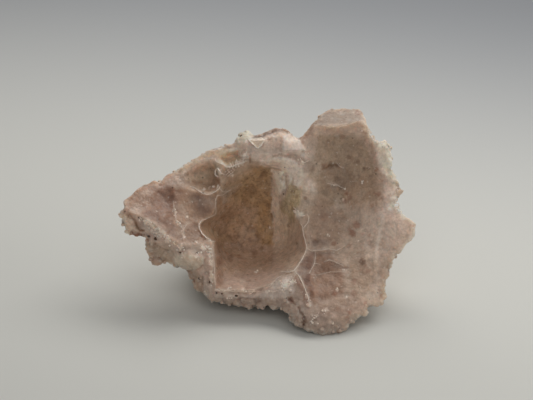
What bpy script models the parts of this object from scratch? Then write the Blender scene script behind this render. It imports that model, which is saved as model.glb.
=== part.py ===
"""Quartz epimorph: one piece of quartz crust that grew over a cluster of crystals which later dissolved.

The hollow side keeps the smooth casts of the lost crystals, with sharp crests where two casts meet.
The outer side is the drusy skin of the crust, a mass of small rounded quartz lumps.

Face-on coordinates describe the hollow side: across (to the right), up (along the leaning face) and
deep (into the hollow), in millimetres of a specimen that is 102 mm wide. The face leans back by LEAN.
"""

import math

import bmesh
import bpy
from mathutils import Vector, bvhtree, geometry

# Driving dimensions, in metres and radians
SPECIMEN_WIDTH = 0.102
LEAN = math.radians(27.5)
CRUST_THICKNESS = 0.0110  # at the bottom of the pocket
RIM_SHARE = 0.6  # of that thickness, at the foremost rim
BLOCK_DEPTH = 0.060  # of the solid that the hollow side is the front of
FOLD_FILL = 0.0020  # folds of the grown crust narrower than twice this are filled
SWELL_SIZE, SWELL_HEIGHT = 0.016, 0.004  # broad swellings of the outer side
DRUSE_SIZE, DRUSE_HEIGHT = 0.0052, 0.0022  # rounded lumps all over the outer side
RAGGED_SIZE, RAGGED_HEIGHT = 0.0030, 0.0016  # small lumps that break up the rim
LUMP_LEVEL = 0.3  # of a lump's height, which stays where the surface was
BROKEN_CORNER = 0.7  # how sharp the corners of the broken outline stay, from 0 to 1
REST_CUT = 0.0018  # height of the lowest lumps that the resting places take off

# How finely it is made
CAST_LEVELS = 2
GROWTH_VOXEL = 0.0011
CRUST_VOXEL = 0.0008
CRUST_TRIANGLES = 9700

UNIT = SPECIMEN_WIDTH / 102  # one millimetre of the face-on coordinates
FOREMOST, DEEPEST = -8, 30  # range of deep over the hollow side
BROKEN = 1  # the number of the cast surface's "broken" vertex group
NODE = "quartz_crust"
QUARTZ_COLOUR = (0.33, 0.24, 0.19, 1)
QUARTZ_ROUGHNESS = 0.55

# The broken outline of the crust, clockwise from the tip of the left tongue
OUTLINE = [
    (-50.7, 40.0, 0), (-49.3, 44.5, 1), (-43.1, 50.2, 5), (-35.9, 53.3, 9), (-30.7, 56.0, 11),
    (-23.5, 60.7, 12), (-19.7, 62.9, 12), (-11.4, 65.1, 13), (-9.7, 68.2, 15), (-6.4, 69.3, 15),
    (-4.6, 67.4, 12), (2.8, 70.2, 11), (6.2, 69.7, 11), (11.0, 66.6, 12), (14.3, 70.4, 12),
    (17.3, 73.3, 13), (21.7, 75.9, 15), (25.5, 76.5, 16), (31.5, 76.3, 15), (32.6, 74.2, 12),
    (33.6, 70.0, 9), (35.7, 66.1, 8), (37.7, 64.9, 9), (40.4, 65.8, 11), (42.6, 63.3, 11),
    (42.8, 54.9, 9), (45.2, 51.1, 9), (46.3, 48.0, 8), (43.1, 43.8, 6), (47.6, 39.2, 5),
    (50.9, 37.1, 5), (50.4, 33.0, 5), (47.3, 28.8, 4), (43.1, 21.4, 4), (40.8, 16.6, 3),
    (41.2, 12.4, 3), (38.8, 9.5, 1), (34.3, 8.6, -2.5), (33.5, 6.2, -3), (24.5, 0.8, -5),
    (20.4, 0.0, -6), (15.5, 0.3, -6), (8.6, 3.3, -5), (4.5, 8.3, -1), (-5.2, 8.6, 2),
    (-12.1, 9.7, 3), (-19.7, 11.0, 4), (-25.2, 15.2, 7), (-27.7, 20.6, 8), (-32.1, 22.6, 6),
    (-39.7, 23.6, 5), (-41.5, 26.2, 4), (-42.4, 32.0, 4), (-46.6, 33.4, 3),
]

# Sharp crests, where two casts meet or a cast ends in the broken rim, each a run of points
CRESTS = {
    "tongue lip": [(-48.5, 41.7, -1), (-44.2, 40.2, -3), (-38.2, 37.1, -4), (-33.5, 32.3, -3),
                   (-29.7, 29.8, -2), (-25.2, 30.2, 0), (-19.0, 30.5, 2)],
    "pocket lip": [(-19.0, 30.5, 2), (-18.6, 26.9, 1), (-18.1, 21.4, 0), (-18.3, 15.0, -1),
                   (-12.1, 14.4, -1), (-4.5, 14.5, -1), (2.4, 17.3, 0), (8.6, 20.7, 1)],
    "torn edge": [(-19.0, 30.5, 2), (-21.7, 32.8, 3.5), (-23.5, 35.3, 5), (-23.1, 37.8, 6.5),
                  (-18.3, 40.0, 9), (-17.9, 45.5, 11), (-16.2, 49.7, 11)],
    "tongue rib": [(-32.1, 49.0, 7), (-32.4, 43.5, 5), (-31.1, 37.3, 2.5), (-29.7, 29.8, -2)],
    "arc": [(-32.1, 49.0, 7), (-26.6, 49.0, 9), (-21.7, 47.1, 8), (-17.5, 48.2, 9.5),
            (-16.2, 49.7, 11)],
    "upper rim": [(-32.1, 49.0, 7), (-29.0, 54.0, 11.5), (-25.9, 58.0, 12), (-19.0, 59.3, 12),
                  (-17.2, 54.6, 10), (-16.2, 49.7, 11)],
    "comb": [(-17.2, 54.6, 10), (-14.8, 57.3, 10), (-7.9, 59.9, 9), (-1.0, 57.6, 10)],
    "upper rim right": [(-19.0, 59.3, 12), (-14.0, 62.5, 12), (-8.2, 63.0, 11), (-7.9, 59.9, 9)],
    "pocket ridge": [(8.6, 20.7, 1), (11.4, 24.8, 6), (13.5, 28.3, 9), (12.9, 33.1, 11),
                     (12.1, 36.9, 11), (9.0, 40.0, 13)],
    "pocket corner": [(1.0, 55.5, 19), (2.1, 42.8, 26), (2.4, 29.3, 28)],
    "front spur": [(8.6, 20.7, 1), (12.1, 15.2, -3), (14.3, 9.7, -6)],
    "branch": [(13.5, 28.3, 9), (16.2, 27.6, 9), (23.8, 27.9, 8.5), (27.3, 29.3, 9)],
    "lower branch": [(16.2, 27.6, 9), (15.9, 23.5, 6), (20.4, 24.5, 6), (25.9, 22.8, 4)],
    "cap edge": [(14.3, 70.4, 12), (17.3, 70.9, 8), (23.1, 70.2, 8), (31.7, 72.7, 8)],
    "block front": [(3.8, 61.4, 8), (12.1, 62.2, 8), (12.8, 58.0, 9)],
    "floor lip": [(14.3, 9.7, -6), (16.9, 6.2, -8), (23.1, 4.8, -7.5), (28.6, 6.2, -6),
                  (33.5, 9.7, -3)],
}

# Points inside the casts and on the broken rim
CASTS = {
    "tongue": [(-41.1, 44.2, 3), (-35.5, 46.9, 7)],
    "second face": [(-25.2, 41.4, 8.5), (-27.0, 36.0, 4)],
    "upper hollow": [(-22.4, 53.1, 17), (-18.8, 53.8, 14)],
    "small hollow": [(-12.8, 60.4, 14), (-16.0, 60.0, 13.5)],
    "pocket shoulder": [(-12.1, 53.8, 13), (-7.9, 55.9, 14)],
    "pocket wall": [(-5.9, 55.0, 17), (-14.8, 48.3, 19), (-17.3, 39.3, 24), (-22.0, 36.6, 20),
                    (-18.3, 31.0, 27), (-7.9, 41.4, 29), (-11.4, 50.4, 18)],
    "pocket right": [(11.7, 46.9, 12), (7.2, 37.3, 19)],
    "pocket floor": [(-17.3, 28.5, 29), (-6.6, 28.6, 30), (10.0, 29.0, 17), (-17.6, 15.8, 2),
                     (-7.9, 20.7, 16), (-13.5, 22.1, 16), (2.4, 22.8, 16), (-7.9, 15.6, 2),
                     (-17.5, 22.1, 15)],
    "block": [(4.5, 66.2, 8), (-6.7, 65.0, 8), (-3.4, 63.1, 7), (-0.9, 66.0, 8), (4.5, 58.7, 11),
              (7.2, 55.2, 11), (5.9, 49.0, 14), (14.8, 50.4, 10), (15.5, 58.7, 10)],
    "panel": [(23.1, 67.6, 12), (32.8, 68.3, 11), (25.2, 60.7, 15), (36.9, 60.7, 10),
              (16.2, 45.5, 12), (25.2, 48.3, 15), (39.0, 50.4, 9), (19.7, 37.3, 13),
              (30.0, 37.3, 12), (38.3, 40.7, 7), (36.2, 29.0, 5), (13.5, 19.3, 2),
              (23.1, 15.2, -2), (33.5, 17.9, 0), (38.3, 22.1, 3), (45.9, 34.5, 3)],
    "tongue rim": [(-38, 31.7, -1), (-35.5, 27.6, 2), (-27.3, 24.8, -1), (-23.1, 26.2, 0),
                   (-23.1, 18.6, 3)],
    "front rim": [(-14.8, 12.4, 0), (-3.8, 12.1, 0), (4.5, 13.1, -2.5), (7.9, 9.7, -5),
                  (11.4, 4.8, -8), (15.5, 2.8, -8.5)],
}
BROKEN_RIMS = ("tongue rim", "front rim")


def face_on(across, up, deep):
    """A point of the leaning face, in metres of the upright frame."""
    behind = up * math.sin(LEAN) + deep * math.cos(LEAN)
    height = up * math.cos(LEAN) - deep * math.sin(LEAN)
    return Vector((across, behind, height)) * UNIT


INTO_FACE = face_on(0, 0, 1).normalized()


def new_object(name, mesh, collection):
    obj = bpy.data.objects.new(name, mesh)
    collection.objects.link(obj)
    return obj


def add_modifier(obj, kind, **settings):
    modifier = obj.modifiers.new(kind.title(), kind)
    for key, value in settings.items():
        setattr(modifier, key, value)


def apply_modifiers(obj):
    graph = bpy.context.evaluated_depsgraph_get()
    mesh = bpy.data.meshes.new_from_object(obj.evaluated_get(graph))
    obj.modifiers.clear()
    obj.data = mesh


def triangle_count(obj):
    obj.data.calc_loop_triangles()
    return len(obj.data.loop_triangles)


def cage_points():
    """Every point of the hollow side once, and the crests as pairs of their numbers."""
    points, edges = list(OUTLINE), []
    for crest in CRESTS.values():
        points += [p for p in crest if p not in points]
        run = [points.index(p) for p in crest]
        edges += zip(run, run[1:])
    for cast in CASTS.values():
        points += cast
    return points, edges


def cast_surface(collection):
    """The hollow side: an open surface through the cage points, creased along its crests."""
    points, crests = cage_points()
    outline = list(reversed(range(len(OUTLINE))))
    flat = [Vector(p[:2]) for p in points]
    within_outline, merge_distance = 1, 1e-4
    corners, _, triangles, sources, _, _ = geometry.delaunay_2d_cdt(
        flat, crests, [outline], within_outline, merge_distance
    )
    points = [points[source[0]] for source in sources]
    number = {source[0]: i for i, source in enumerate(sources)}
    bm = bmesh.new()
    sharp_edge = bm.edges.layers.float.new("crease_edge")
    sharp_corner = bm.verts.layers.float.new("crease_vert")
    verts = [bm.verts.new(face_on(*point)) for point in points]
    for triangle in triangles:
        bm.faces.new([verts[i] for i in triangle])
    for a, b in crests:
        edge = bm.edges.get((verts[number[a]], verts[number[b]]))
        if edge:
            edge[sharp_edge] = 1
    for edge in bm.edges:
        if edge.is_boundary:
            edge[sharp_edge] = 1
            for vert in edge.verts:
                vert[sharp_corner] = BROKEN_CORNER
    bmesh.ops.recalc_face_normals(bm, faces=bm.faces)
    surface = new_object("cast_surface", bpy.data.meshes.new("cast_surface"), collection)
    bm.to_mesh(surface.data)
    bm.free()
    weigh_rim(surface, points)
    add_modifier(surface, "SUBSURF", levels=CAST_LEVELS, render_levels=CAST_LEVELS)
    apply_modifiers(surface)
    return surface


def weigh_rim(surface, points):
    """Says how thick the crust grows at each point of the cage, and which points are broken rim."""
    thickness = surface.vertex_groups.new(name="thickness")
    broken = surface.vertex_groups.new(name="broken")
    on_rim = OUTLINE + [p for name in BROKEN_RIMS for p in CASTS[name]]
    for i, point in enumerate(points):
        depth = (point[2] - FOREMOST) / (DEEPEST - FOREMOST)
        thickness.add([i], RIM_SHARE + (1 - RIM_SHARE) * depth, "REPLACE")
        broken.add([i], point in on_rim, "REPLACE")


def block_behind(surface, collection):
    """Everything behind the hollow side, within the broken outline, as a closed solid."""
    block = new_object("block", surface.data.copy(), collection)
    bm = bmesh.new()
    bm.from_mesh(block.data)
    made = bmesh.ops.extrude_face_region(bm, geom=bm.faces[:])
    moved = [v for v in made["geom"] if isinstance(v, bmesh.types.BMVert)]
    bmesh.ops.translate(bm, verts=moved, vec=INTO_FACE * BLOCK_DEPTH)
    bmesh.ops.recalc_face_normals(bm, faces=bm.faces)
    bm.to_mesh(block.data)
    bm.free()
    return block


def add_lumps(obj, name, size, height, **where):
    """Rounded lumps of this size, with a groove between each two."""
    cells = bpy.data.textures.new(name, "VORONOI")
    cells.noise_scale = size
    cells.distance_metric = "DISTANCE_SQUARED"
    add_modifier(obj, "DISPLACE", texture=cells, strength=-height, mid_level=LUMP_LEVEL, **where)


def crust_growth(surface, collection):
    """Quartz grown on both sides of the cast surface, with a skin of rounded lumps."""
    growth = new_object(NODE, surface.data.copy(), collection)
    add_modifier(
        growth, "SOLIDIFY", thickness=2 * CRUST_THICKNESS, offset=0, vertex_group="thickness"
    )
    for outward in (FOLD_FILL, -FOLD_FILL):
        add_modifier(growth, "REMESH", mode="VOXEL", voxel_size=GROWTH_VOXEL)
        add_modifier(growth, "DISPLACE", strength=outward, mid_level=0)
    swell = bpy.data.textures.new("swell", "CLOUDS")
    swell.noise_scale = SWELL_SIZE
    add_modifier(growth, "DISPLACE", texture=swell, strength=SWELL_HEIGHT, mid_level=0.5)
    add_lumps(growth, "druse", DRUSE_SIZE, DRUSE_HEIGHT)
    apply_modifiers(growth)
    return growth


def roughen_broken_rim(crust, surface):
    """Breaks up the rim and the outer side with small lumps, and leaves the casts smooth."""
    corners, faces = surface.data.vertices, surface.data.polygons
    tree = bvhtree.BVHTree.FromPolygons([v.co for v in corners], [f.vertices for f in faces])
    broken = [sum(g.weight for g in v.groups if g.group == BROKEN) for v in corners]
    rough = crust.vertex_groups.new(name="rough")
    for vert in crust.data.vertices:
        _, _, face, distance = tree.find_nearest(vert.co)
        on_rim = sum(broken[i] for i in faces[face].vertices) / len(faces[face].vertices)
        off_cast = distance / CRUST_VOXEL - 0.5
        rough.add([vert.index], min(1, max(0, off_cast, on_rim)), "REPLACE")
    add_lumps(crust, "ragged", RAGGED_SIZE, RAGGED_HEIGHT, vertex_group="rough")
    apply_modifiers(crust)


def stand_on_floor(crust, collection):
    """Puts the origin under the middle of the crust and cuts its lowest lumps flat at the floor."""
    places = [v.co for v in crust.data.vertices]
    low = [min(p[i] for p in places) for i in range(3)]
    high = [max(p[i] for p in places) for i in range(3)]
    middle = Vector(((low[0] + high[0]) / 2, (low[1] + high[1]) / 2, low[2] + REST_CUT))
    for vert in crust.data.vertices:
        vert.co -= middle
    bpy.ops.mesh.primitive_cube_add(size=2 * SPECIMEN_WIDTH, location=(0, 0, -SPECIMEN_WIDTH))
    floor = new_object("floor", bpy.context.object.data, collection)
    floor.location = bpy.context.object.location
    bpy.data.objects.remove(bpy.context.object)
    add_modifier(crust, "BOOLEAN", operation="DIFFERENCE", object=floor, solver="MANIFOLD")
    apply_modifiers(crust)


def quartz_material():
    material = bpy.data.materials.new("quartz")
    material.use_nodes = True
    shader = material.node_tree.nodes["Principled BSDF"]
    shader.inputs["Base Color"].default_value = QUARTZ_COLOUR
    shader.inputs["Roughness"].default_value = QUARTZ_ROUGHNESS
    shader.inputs["Metallic"].default_value = 0
    return material


def build_crust(collection, cutters):
    surface = cast_surface(cutters)
    block = block_behind(surface, cutters)
    crust = crust_growth(surface, collection)
    add_modifier(crust, "BOOLEAN", operation="INTERSECT", object=block, solver="MANIFOLD")
    add_modifier(crust, "REMESH", mode="VOXEL", voxel_size=CRUST_VOXEL)
    apply_modifiers(crust)
    roughen_broken_rim(crust, surface)
    add_modifier(crust, "DECIMATE", ratio=CRUST_TRIANGLES / triangle_count(crust))
    apply_modifiers(crust)
    stand_on_floor(crust, cutters)
    crust.data.name = NODE
    crust.data.materials.clear()
    crust.data.materials.append(quartz_material())


def new_collection(name):
    collection = bpy.data.collections.new(name)
    bpy.context.scene.collection.children.link(collection)
    return collection


def main():
    for obj in list(bpy.data.objects):
        bpy.data.objects.remove(obj)
    cutters = new_collection("Cutters")
    build_crust(new_collection("Quartz epimorph"), cutters)
    for cutter in cutters.objects:
        cutter.hide_render = True
        cutter.display_type = "WIRE"


if __name__ == "__main__":
    main()
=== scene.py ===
"""Quartz epimorph: a hollow crust of milky quartz that grew over crystals which later dissolved.

The hollow side keeps the smooth casts of the lost crystals. Thin septa stand along the crests where two
casts meet, a spiky comb crosses the upper hollow, and the outer side is a drusy skin of small crystals.

Face-on coordinates describe the hollow side: across (to the right), up (along the leaning face) and deep
(into the hollow), in millimetres of a specimen that is 102 mm wide.
"""

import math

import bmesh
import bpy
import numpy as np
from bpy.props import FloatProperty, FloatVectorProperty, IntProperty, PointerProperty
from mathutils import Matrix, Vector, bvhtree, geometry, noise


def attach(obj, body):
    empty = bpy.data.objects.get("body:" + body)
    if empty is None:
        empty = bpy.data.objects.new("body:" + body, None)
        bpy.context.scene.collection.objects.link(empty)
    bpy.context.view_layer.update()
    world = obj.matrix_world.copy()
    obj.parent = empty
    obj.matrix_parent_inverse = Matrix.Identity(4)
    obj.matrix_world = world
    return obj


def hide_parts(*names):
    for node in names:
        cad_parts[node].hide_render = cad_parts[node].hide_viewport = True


bl_info = {
    "name": "Quartz Epimorph",
    "version": (1, 0, 0),
    "blender": (4, 5, 0),
    "location": "View3D > Sidebar > Epimorph",
    "description": "Builds a quartz epimorph around its packed frame: crust, septa, comb, druse and stage",
    "category": "Add Mesh",
}

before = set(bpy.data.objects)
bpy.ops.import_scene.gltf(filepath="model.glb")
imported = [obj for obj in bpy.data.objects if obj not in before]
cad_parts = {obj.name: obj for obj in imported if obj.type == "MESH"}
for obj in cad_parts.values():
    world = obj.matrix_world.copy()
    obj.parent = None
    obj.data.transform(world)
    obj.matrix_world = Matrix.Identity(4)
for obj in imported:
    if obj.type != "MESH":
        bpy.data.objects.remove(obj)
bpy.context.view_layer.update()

NODE = "quartz_crust"
BODY = "root"

# ------------------------ The hollow side, as it is in the frame

SPECIMEN_WIDTH = 0.102
UNIT = SPECIMEN_WIDTH / 102
LEAN = math.radians(27.5)
FACE_ORIGIN = Vector((0.553, 24.365, 2.368)) * UNIT  # the frame's origin, in the unshifted upright frame
FOREMOST, DEEPEST = -8, 30  # range of deep over the hollow side
LUMP_LEVEL = 0.3  # of a lump's height, which stays where the surface was
BROKEN_CORNER = 0.7  # how sharp the corners of the broken outline stay, from 0 to 1
BROKEN = 1  # the number of the cast surface's "broken" vertex group
SNAP_REACH = 1.6  # voxels from the casts at which the remeshed crust no longer snaps to them
HOLLOW_EDGE = (0.0004, 0.0014)  # how far from the casts the hollow side ends, in metres

# The broken outline of the crust, clockwise from the tip of the left tongue
OUTLINE = [
    (-51, 40, 0), (-48.9, 42.2, 0), (-49.4, 44.7, 1), (-43.1, 50.2, 5), (-35.9, 53.3, 9), (-30.7, 56, 11),
    (-23.5, 60.7, 12), (-19.7, 62.9, 12), (-11.4, 65.1, 13), (-9.7, 68.2, 15), (-6.4, 69.3, 15),
    (-4.6, 67.4, 12), (2.8, 70.2, 11), (6.2, 69.7, 11), (10.7, 66.8, 12), (13.7, 71, 12), (16.8, 74, 13),
    (21.5, 76.6, 15), (25.5, 77.2, 16), (32.1, 76.9, 15), (33.4, 74.4, 12), (34.6, 70.2, 9), (36.4, 66.3, 8),
    (37.7, 64.9, 9), (40.4, 65.8, 11), (42.6, 63.3, 11), (42.8, 54.9, 9), (45.2, 51.1, 9), (46.3, 48, 8),
    (43.1, 43.8, 6), (47.6, 39.2, 5), (50.9, 37.1, 5), (50.4, 33, 5), (48.2, 29.8, 4), (44.4, 26.4, 4),
    (42.4, 21, 4), (40.4, 16.6, 3), (40.8, 12.4, 3), (38.6, 9.4, 1), (34, 8.4, -2.5), (33.4, 6, -3),
    (24.5, 0.8, -5), (20.4, 0, -6), (15.5, 0.3, -6), (8.6, 3.3, -5), (4.5, 8.3, -1), (-5.2, 8.6, 2),
    (-12.1, 9.7, 3), (-19.7, 11, 4), (-25.2, 15.2, 7), (-27.7, 20.6, 8), (-33, 22.6, 6), (-35.3, 24.2, 6),
    (-37.4, 22.8, 5), (-40.4, 24, 5), (-41.6, 26.2, 4), (-42, 32, 4), (-47, 33.3, 3), (-50, 36.7, 1.5),
]

# Sharp crests, where two casts meet or a cast ends in the broken rim, each a run of points
CRESTS = {
    "tongue lip": [
        (-48.5, 41.7, -1), (-44.2, 40.2, -3), (-38.2, 37.1, -4), (-33.5, 32.3, -3), (-29.7, 29.8, -2),
        (-25.2, 30.2, 0), (-19, 30.5, 2)],
    "pocket lip": [
        (-19, 30.5, 2), (-18.6, 26.9, 1), (-18.1, 21.4, 0), (-18.3, 15, -1), (-12.1, 14.4, -1),
        (-4.5, 14.5, -1), (2.4, 17.3, 0), (8.6, 20.7, 1)],
    "torn edge": [
        (-19, 30.5, 2), (-21.7, 32.8, 3.5), (-23.5, 35.3, 5), (-23.1, 37.8, 6.5), (-18.3, 40, 9),
        (-17.9, 45.5, 11), (-16.2, 49.7, 11)],
    "tongue rib": [(-32.1, 49, 7), (-32.4, 43.5, 5), (-31.1, 37.3, 2.5), (-29.7, 29.8, -2)],
    "arc": [(-32.1, 49, 7), (-26.6, 49, 9), (-21.7, 47.1, 8), (-17.5, 48.2, 9.5), (-16.2, 49.7, 11)],
    "upper rim": [
        (-32.1, 49, 7), (-29, 54, 11.5), (-25.9, 58, 12), (-19, 59.3, 12), (-17.2, 54.6, 10),
        (-16.2, 49.7, 11)],
    "comb": [(-17.2, 54.6, 10), (-14.8, 57.3, 10), (-7.9, 59.9, 9), (-1, 57.6, 10)],
    "upper rim right": [(-19, 59.3, 12), (-14, 62.5, 12), (-8.2, 63, 11), (-7.9, 59.9, 9)],
    "pocket ridge": [
        (8.6, 20.7, 1), (11.4, 24.8, 6), (13.5, 28.3, 9), (12.9, 33.1, 11), (12.1, 36.9, 11), (9, 40, 13)],
    "pocket corner": [(1, 55.5, 19), (2.1, 42.8, 26), (2.4, 29.3, 28)],
    "front spur": [(8.6, 20.7, 1), (12.1, 15.2, -3), (14.3, 9.7, -6)],
    "branch": [(13.5, 28.3, 9), (16.2, 27.6, 9), (23.8, 27.9, 8.5), (27.3, 29.3, 9)],
    "lower branch": [(16.2, 27.6, 9), (15.9, 23.5, 6), (20.4, 24.5, 6), (25.9, 22.8, 4)],
    "cap edge": [(13.7, 71, 12), (17.3, 70.9, 8), (23.1, 70.2, 8), (31.7, 72.7, 8)],
    "block front": [(3.8, 61.4, 8), (12.1, 62.2, 8), (12.8, 58, 9)],
    "floor lip": [(14.3, 9.7, -6), (16.9, 6.2, -8), (23.1, 4.8, -7.5), (28.6, 6.2, -6), (33.5, 9.7, -3)],
}

# Points inside the casts and on the broken rim
CASTS = {
    "tongue": [(-41.1, 44.2, 3), (-35.5, 46.9, 7)],
    "second face": [(-25.2, 41.4, 8.5), (-27, 36, 4)],
    "upper hollow": [(-22.4, 53.1, 17), (-18.8, 53.8, 14)],
    "small hollow": [(-12.8, 60.4, 14), (-16, 60, 13.5)],
    "pocket shoulder": [(-12.1, 53.8, 13), (-7.9, 55.9, 14)],
    "pocket wall": [
        (-5.9, 55, 17), (-14.8, 48.3, 19), (-17.3, 39.3, 24), (-22, 36.6, 20), (-18.3, 31, 27),
        (-7.9, 41.4, 29), (-11.4, 50.4, 18)],
    "pocket right": [(11.7, 46.9, 12), (7.2, 37.3, 19)],
    "pocket floor": [
        (-17.3, 28.5, 29), (-6.6, 28.6, 30), (10, 29, 17), (-17.6, 15.8, 2), (-7.9, 20.7, 16),
        (-13.5, 22.1, 16), (2.4, 22.8, 16), (-7.9, 15.6, 2), (-17.5, 22.1, 15)],
    "block": [
        (4.5, 66.2, 8), (-6.7, 65, 8), (-3.4, 63.1, 7), (-0.9, 66, 8), (4.5, 58.7, 11), (7.2, 55.2, 11),
        (5.9, 49, 14), (14.8, 50.4, 10), (15.5, 58.7, 10)],
    "panel": [
        (23.1, 67.6, 12), (32.8, 68.3, 11), (25.2, 60.7, 15), (36.9, 60.7, 10), (16.2, 45.5, 12),
        (25.2, 48.3, 15), (39, 50.4, 9), (19.7, 37.3, 13), (30, 37.3, 12), (38.3, 40.7, 7), (36.2, 29, 5),
        (13.5, 19.3, 2), (23.1, 15.2, -2), (33.5, 17.9, 0), (38.3, 22.1, 3), (45.9, 34.5, 3)],
    "tongue rim": [(-38, 31.7, -1), (-35.5, 27.6, 2), (-27.3, 24.8, -1), (-23.1, 26.2, 0), (-23.1, 18.6, 3)],
    "front rim": [
        (-14.8, 12.4, 0), (-3.8, 12.1, 0), (4.5, 13.1, -2.5), (7.9, 9.7, -5), (11.4, 4.8, -8),
        (15.5, 2.8, -8.5)],
}
BROKEN_RIMS = ("tongue rim", "front rim")

# ------------------------ On the hollow side: (across, up)

# Thin walls of quartz along the crests: height in millimetres, then the line that the wall follows
SEPTA = {
    "left rib": (0.4, [
        (-32.6, 45), (-32.2, 42.6), (-31.9, 41), (-31.4, 38.1), (-29.8, 36.2), (-29, 35.1), (-28.7, 33.8),
        (-28.8, 32.1)]),
    "left rib fork": (0.3, [(-29, 35.1), (-28.1, 36.6), (-27.3, 37.3)]),
    "hollow rim top": (0.8, [(-23.8, 59), (-22.1, 59.5), (-19.7, 59.5), (-18.4, 59.6)]),
    "hollow rim right": (1, [(-18.4, 59.6), (-18.1, 58.5), (-16.9, 58), (-15.7, 57.5), (-14.4, 56.6)]),
    "hollow arc": (0.8, [
        (-26.7, 49.9), (-24.8, 49), (-22.8, 47.6), (-21.2, 47.1), (-19.3, 47.5), (-17.9, 48.3), (-16.9, 49.3),
        (-17.3, 50.4)]),
    "arc tail": (0.8, [(-16.9, 49.3), (-15.7, 48), (-14.4, 48), (-13, 48.8)]),
    "pocket brow": (0.6, [
        (-14.4, 48), (-15.5, 47.1), (-17.5, 46.7), (-18.1, 45.5), (-18.2, 42.8), (-18.1, 40.7), (-18.6, 39.9),
        (-20.4, 39.1), (-21.5, 38.5), (-23, 38.1)]),
    "torn edge": (1.3, [
        (-23, 38.1), (-23.7, 36.9), (-23.6, 35.3), (-22.7, 33.8), (-21.2, 32.3), (-19.5, 31.2),
        (-18.6, 30.6)]),
    "pocket side": (0.4, [
        (-18.6, 30.6), (-18.9, 29), (-18.4, 26.2), (-18.2, 22.8), (-18.2, 19.3), (-17.9, 15)]),
    "pocket sill": (0.35, [
        (-17.9, 15), (-15.5, 14.6), (-12.1, 14.1), (-7.9, 13.9), (-4.3, 14.2), (-1, 13.8), (2.2, 14),
        (4.5, 14.8), (6.5, 15.7), (8.3, 17.5), (9.3, 20)]),
    "ridge top": (1.4, [(9.7, 42), (9.8, 40.8), (10.6, 40), (11.7, 39.7), (13, 39.8)]),
    "ridge loop": (0.9, [(13.5, 40.2), (14.2, 39), (14, 37.5), (12.9, 36.2), (12.1, 35.3)]),
    "ridge": (1.1, [
        (11.1, 37.3), (11.9, 36.2), (12.2, 34.5), (12.5, 32.8), (13, 30.7), (13.5, 28.6), (12.8, 26.9),
        (11.7, 24.8), (10.4, 22.8), (9, 21.2), (7.1, 20.4), (4.5, 20.6)]),
    "low fold": (0.5, [(5.9, 19.8), (3.7, 19), (1.9, 17.4), (0.8, 15.9), (-1, 15.2)]),
    "front spur": (1, [(9.3, 20.8), (10.8, 18.8), (11.7, 17.2), (12.6, 14.8), (13.5, 12.4), (14.1, 9.7)]),
    "branch": (0.7, [
        (13.5, 28.6), (15.1, 27.5), (16.4, 27.7), (18.6, 27.9), (21, 28.2), (23.7, 27.7), (25.5, 28.6),
        (26.8, 29.5)]),
    "branch down": (0.5, [(16.4, 27.7), (16.4, 25.2), (15.9, 23.3), (15.1, 21.7), (14.1, 20.1)]),
    "branch low": (0.4, [(15.9, 23.3), (17, 23.3), (18.1, 22.9)]),
    "low arc": (0.6, [(19.5, 24), (21.2, 24.5), (23.7, 23.7), (26, 22.4)]),
    "faint line": (0.3, [(14.8, 19.8), (17, 19.5), (20.4, 20.4), (22.6, 20.6), (26.6, 20.7)]),
    "cap edge": (0.5, [(17.7, 71.2), (20.4, 70.6), (23.9, 70.4), (27.9, 71.2), (31.5, 72.7)]),
    "block right": (0.4, [(3.8, 61.5), (7.6, 61.9), (11.9, 62.1)]),
    "comb foot": (2, [
        (-14.4, 56.6), (-13.2, 56.6), (-11.9, 57.1), (-10.8, 57.5), (-9.5, 57.9), (-8.6, 58.3),
        (-7.6, 58.9)]),
    "comb crown": (1.8, [(-10.1, 61.1), (-9.5, 60.5), (-8.8, 60.3), (-7.7, 60.5)]),
    "hook": (2.6, [(-17.4, 56.3), (-18.4, 55.2), (-18.3, 54), (-17.2, 53.2)]),
    "hook inside": (2.2, [(-17.4, 56.3), (-16.8, 55.3), (-16.2, 54.5), (-15.2, 54.1)]),
    "panel scratch": (0.6, [(20.7, 51), (22.5, 50.7), (24.4, 50.3), (26.4, 49.2)]),
    "panel scratch right": (0.3, [(28.5, 51.5), (31, 51.8)]),
    "notch line": (0.5, [(23.8, 58.3), (24.9, 57), (26.4, 56.3)]),
    "tooth edge": (1.2, [(11.2, 59.8), (11.5, 58.6), (11.8, 57.9), (12.6, 58.2), (14, 58.8)]),
    "block corner": (0.6, [(11, 64.8), (12.4, 62.8), (13.3, 61.4), (14.4, 60)]),
    "flake edge": (1.5, [(-6.8, 66), (-5.2, 64.4), (-3.5, 62.9), (-2.6, 63.7), (-2, 64.3)]),
}

# Short straight walls of one height: the teeth of the comb, then the lattice below it
SHORT_WALLS = (1.5, [
    ((-12, 57.2), (-12.4, 58.5)), ((-11, 57.6), (-11, 58.9)), ((-10, 57.9), (-10.1, 58.8)),
    ((-9.3, 58.2), (-9.2, 59.3)), ((-8.5, 58.6), (-8.3, 59.7)), ((-9.2, 60.4), (-9.4, 61.3)),
    ((-8.4, 60.5), (-8.2, 61.6)), ((-7.8, 60.4), (-7.3, 61.2)), ((-8.9, 59.4), (-8.8, 60.2)),
    ((-14.9, 54.7), (-13.2, 56.2)), ((-14.6, 54), (-12.3, 55.8)), ((-14, 53.5), (-11.9, 55.1)),
    ((-14.2, 55.9), (-13, 54.2)), ((-13.3, 56.4), (-12.2, 54.7)), ((-12.4, 56.3), (-11.5, 55.4)),
])

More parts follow.
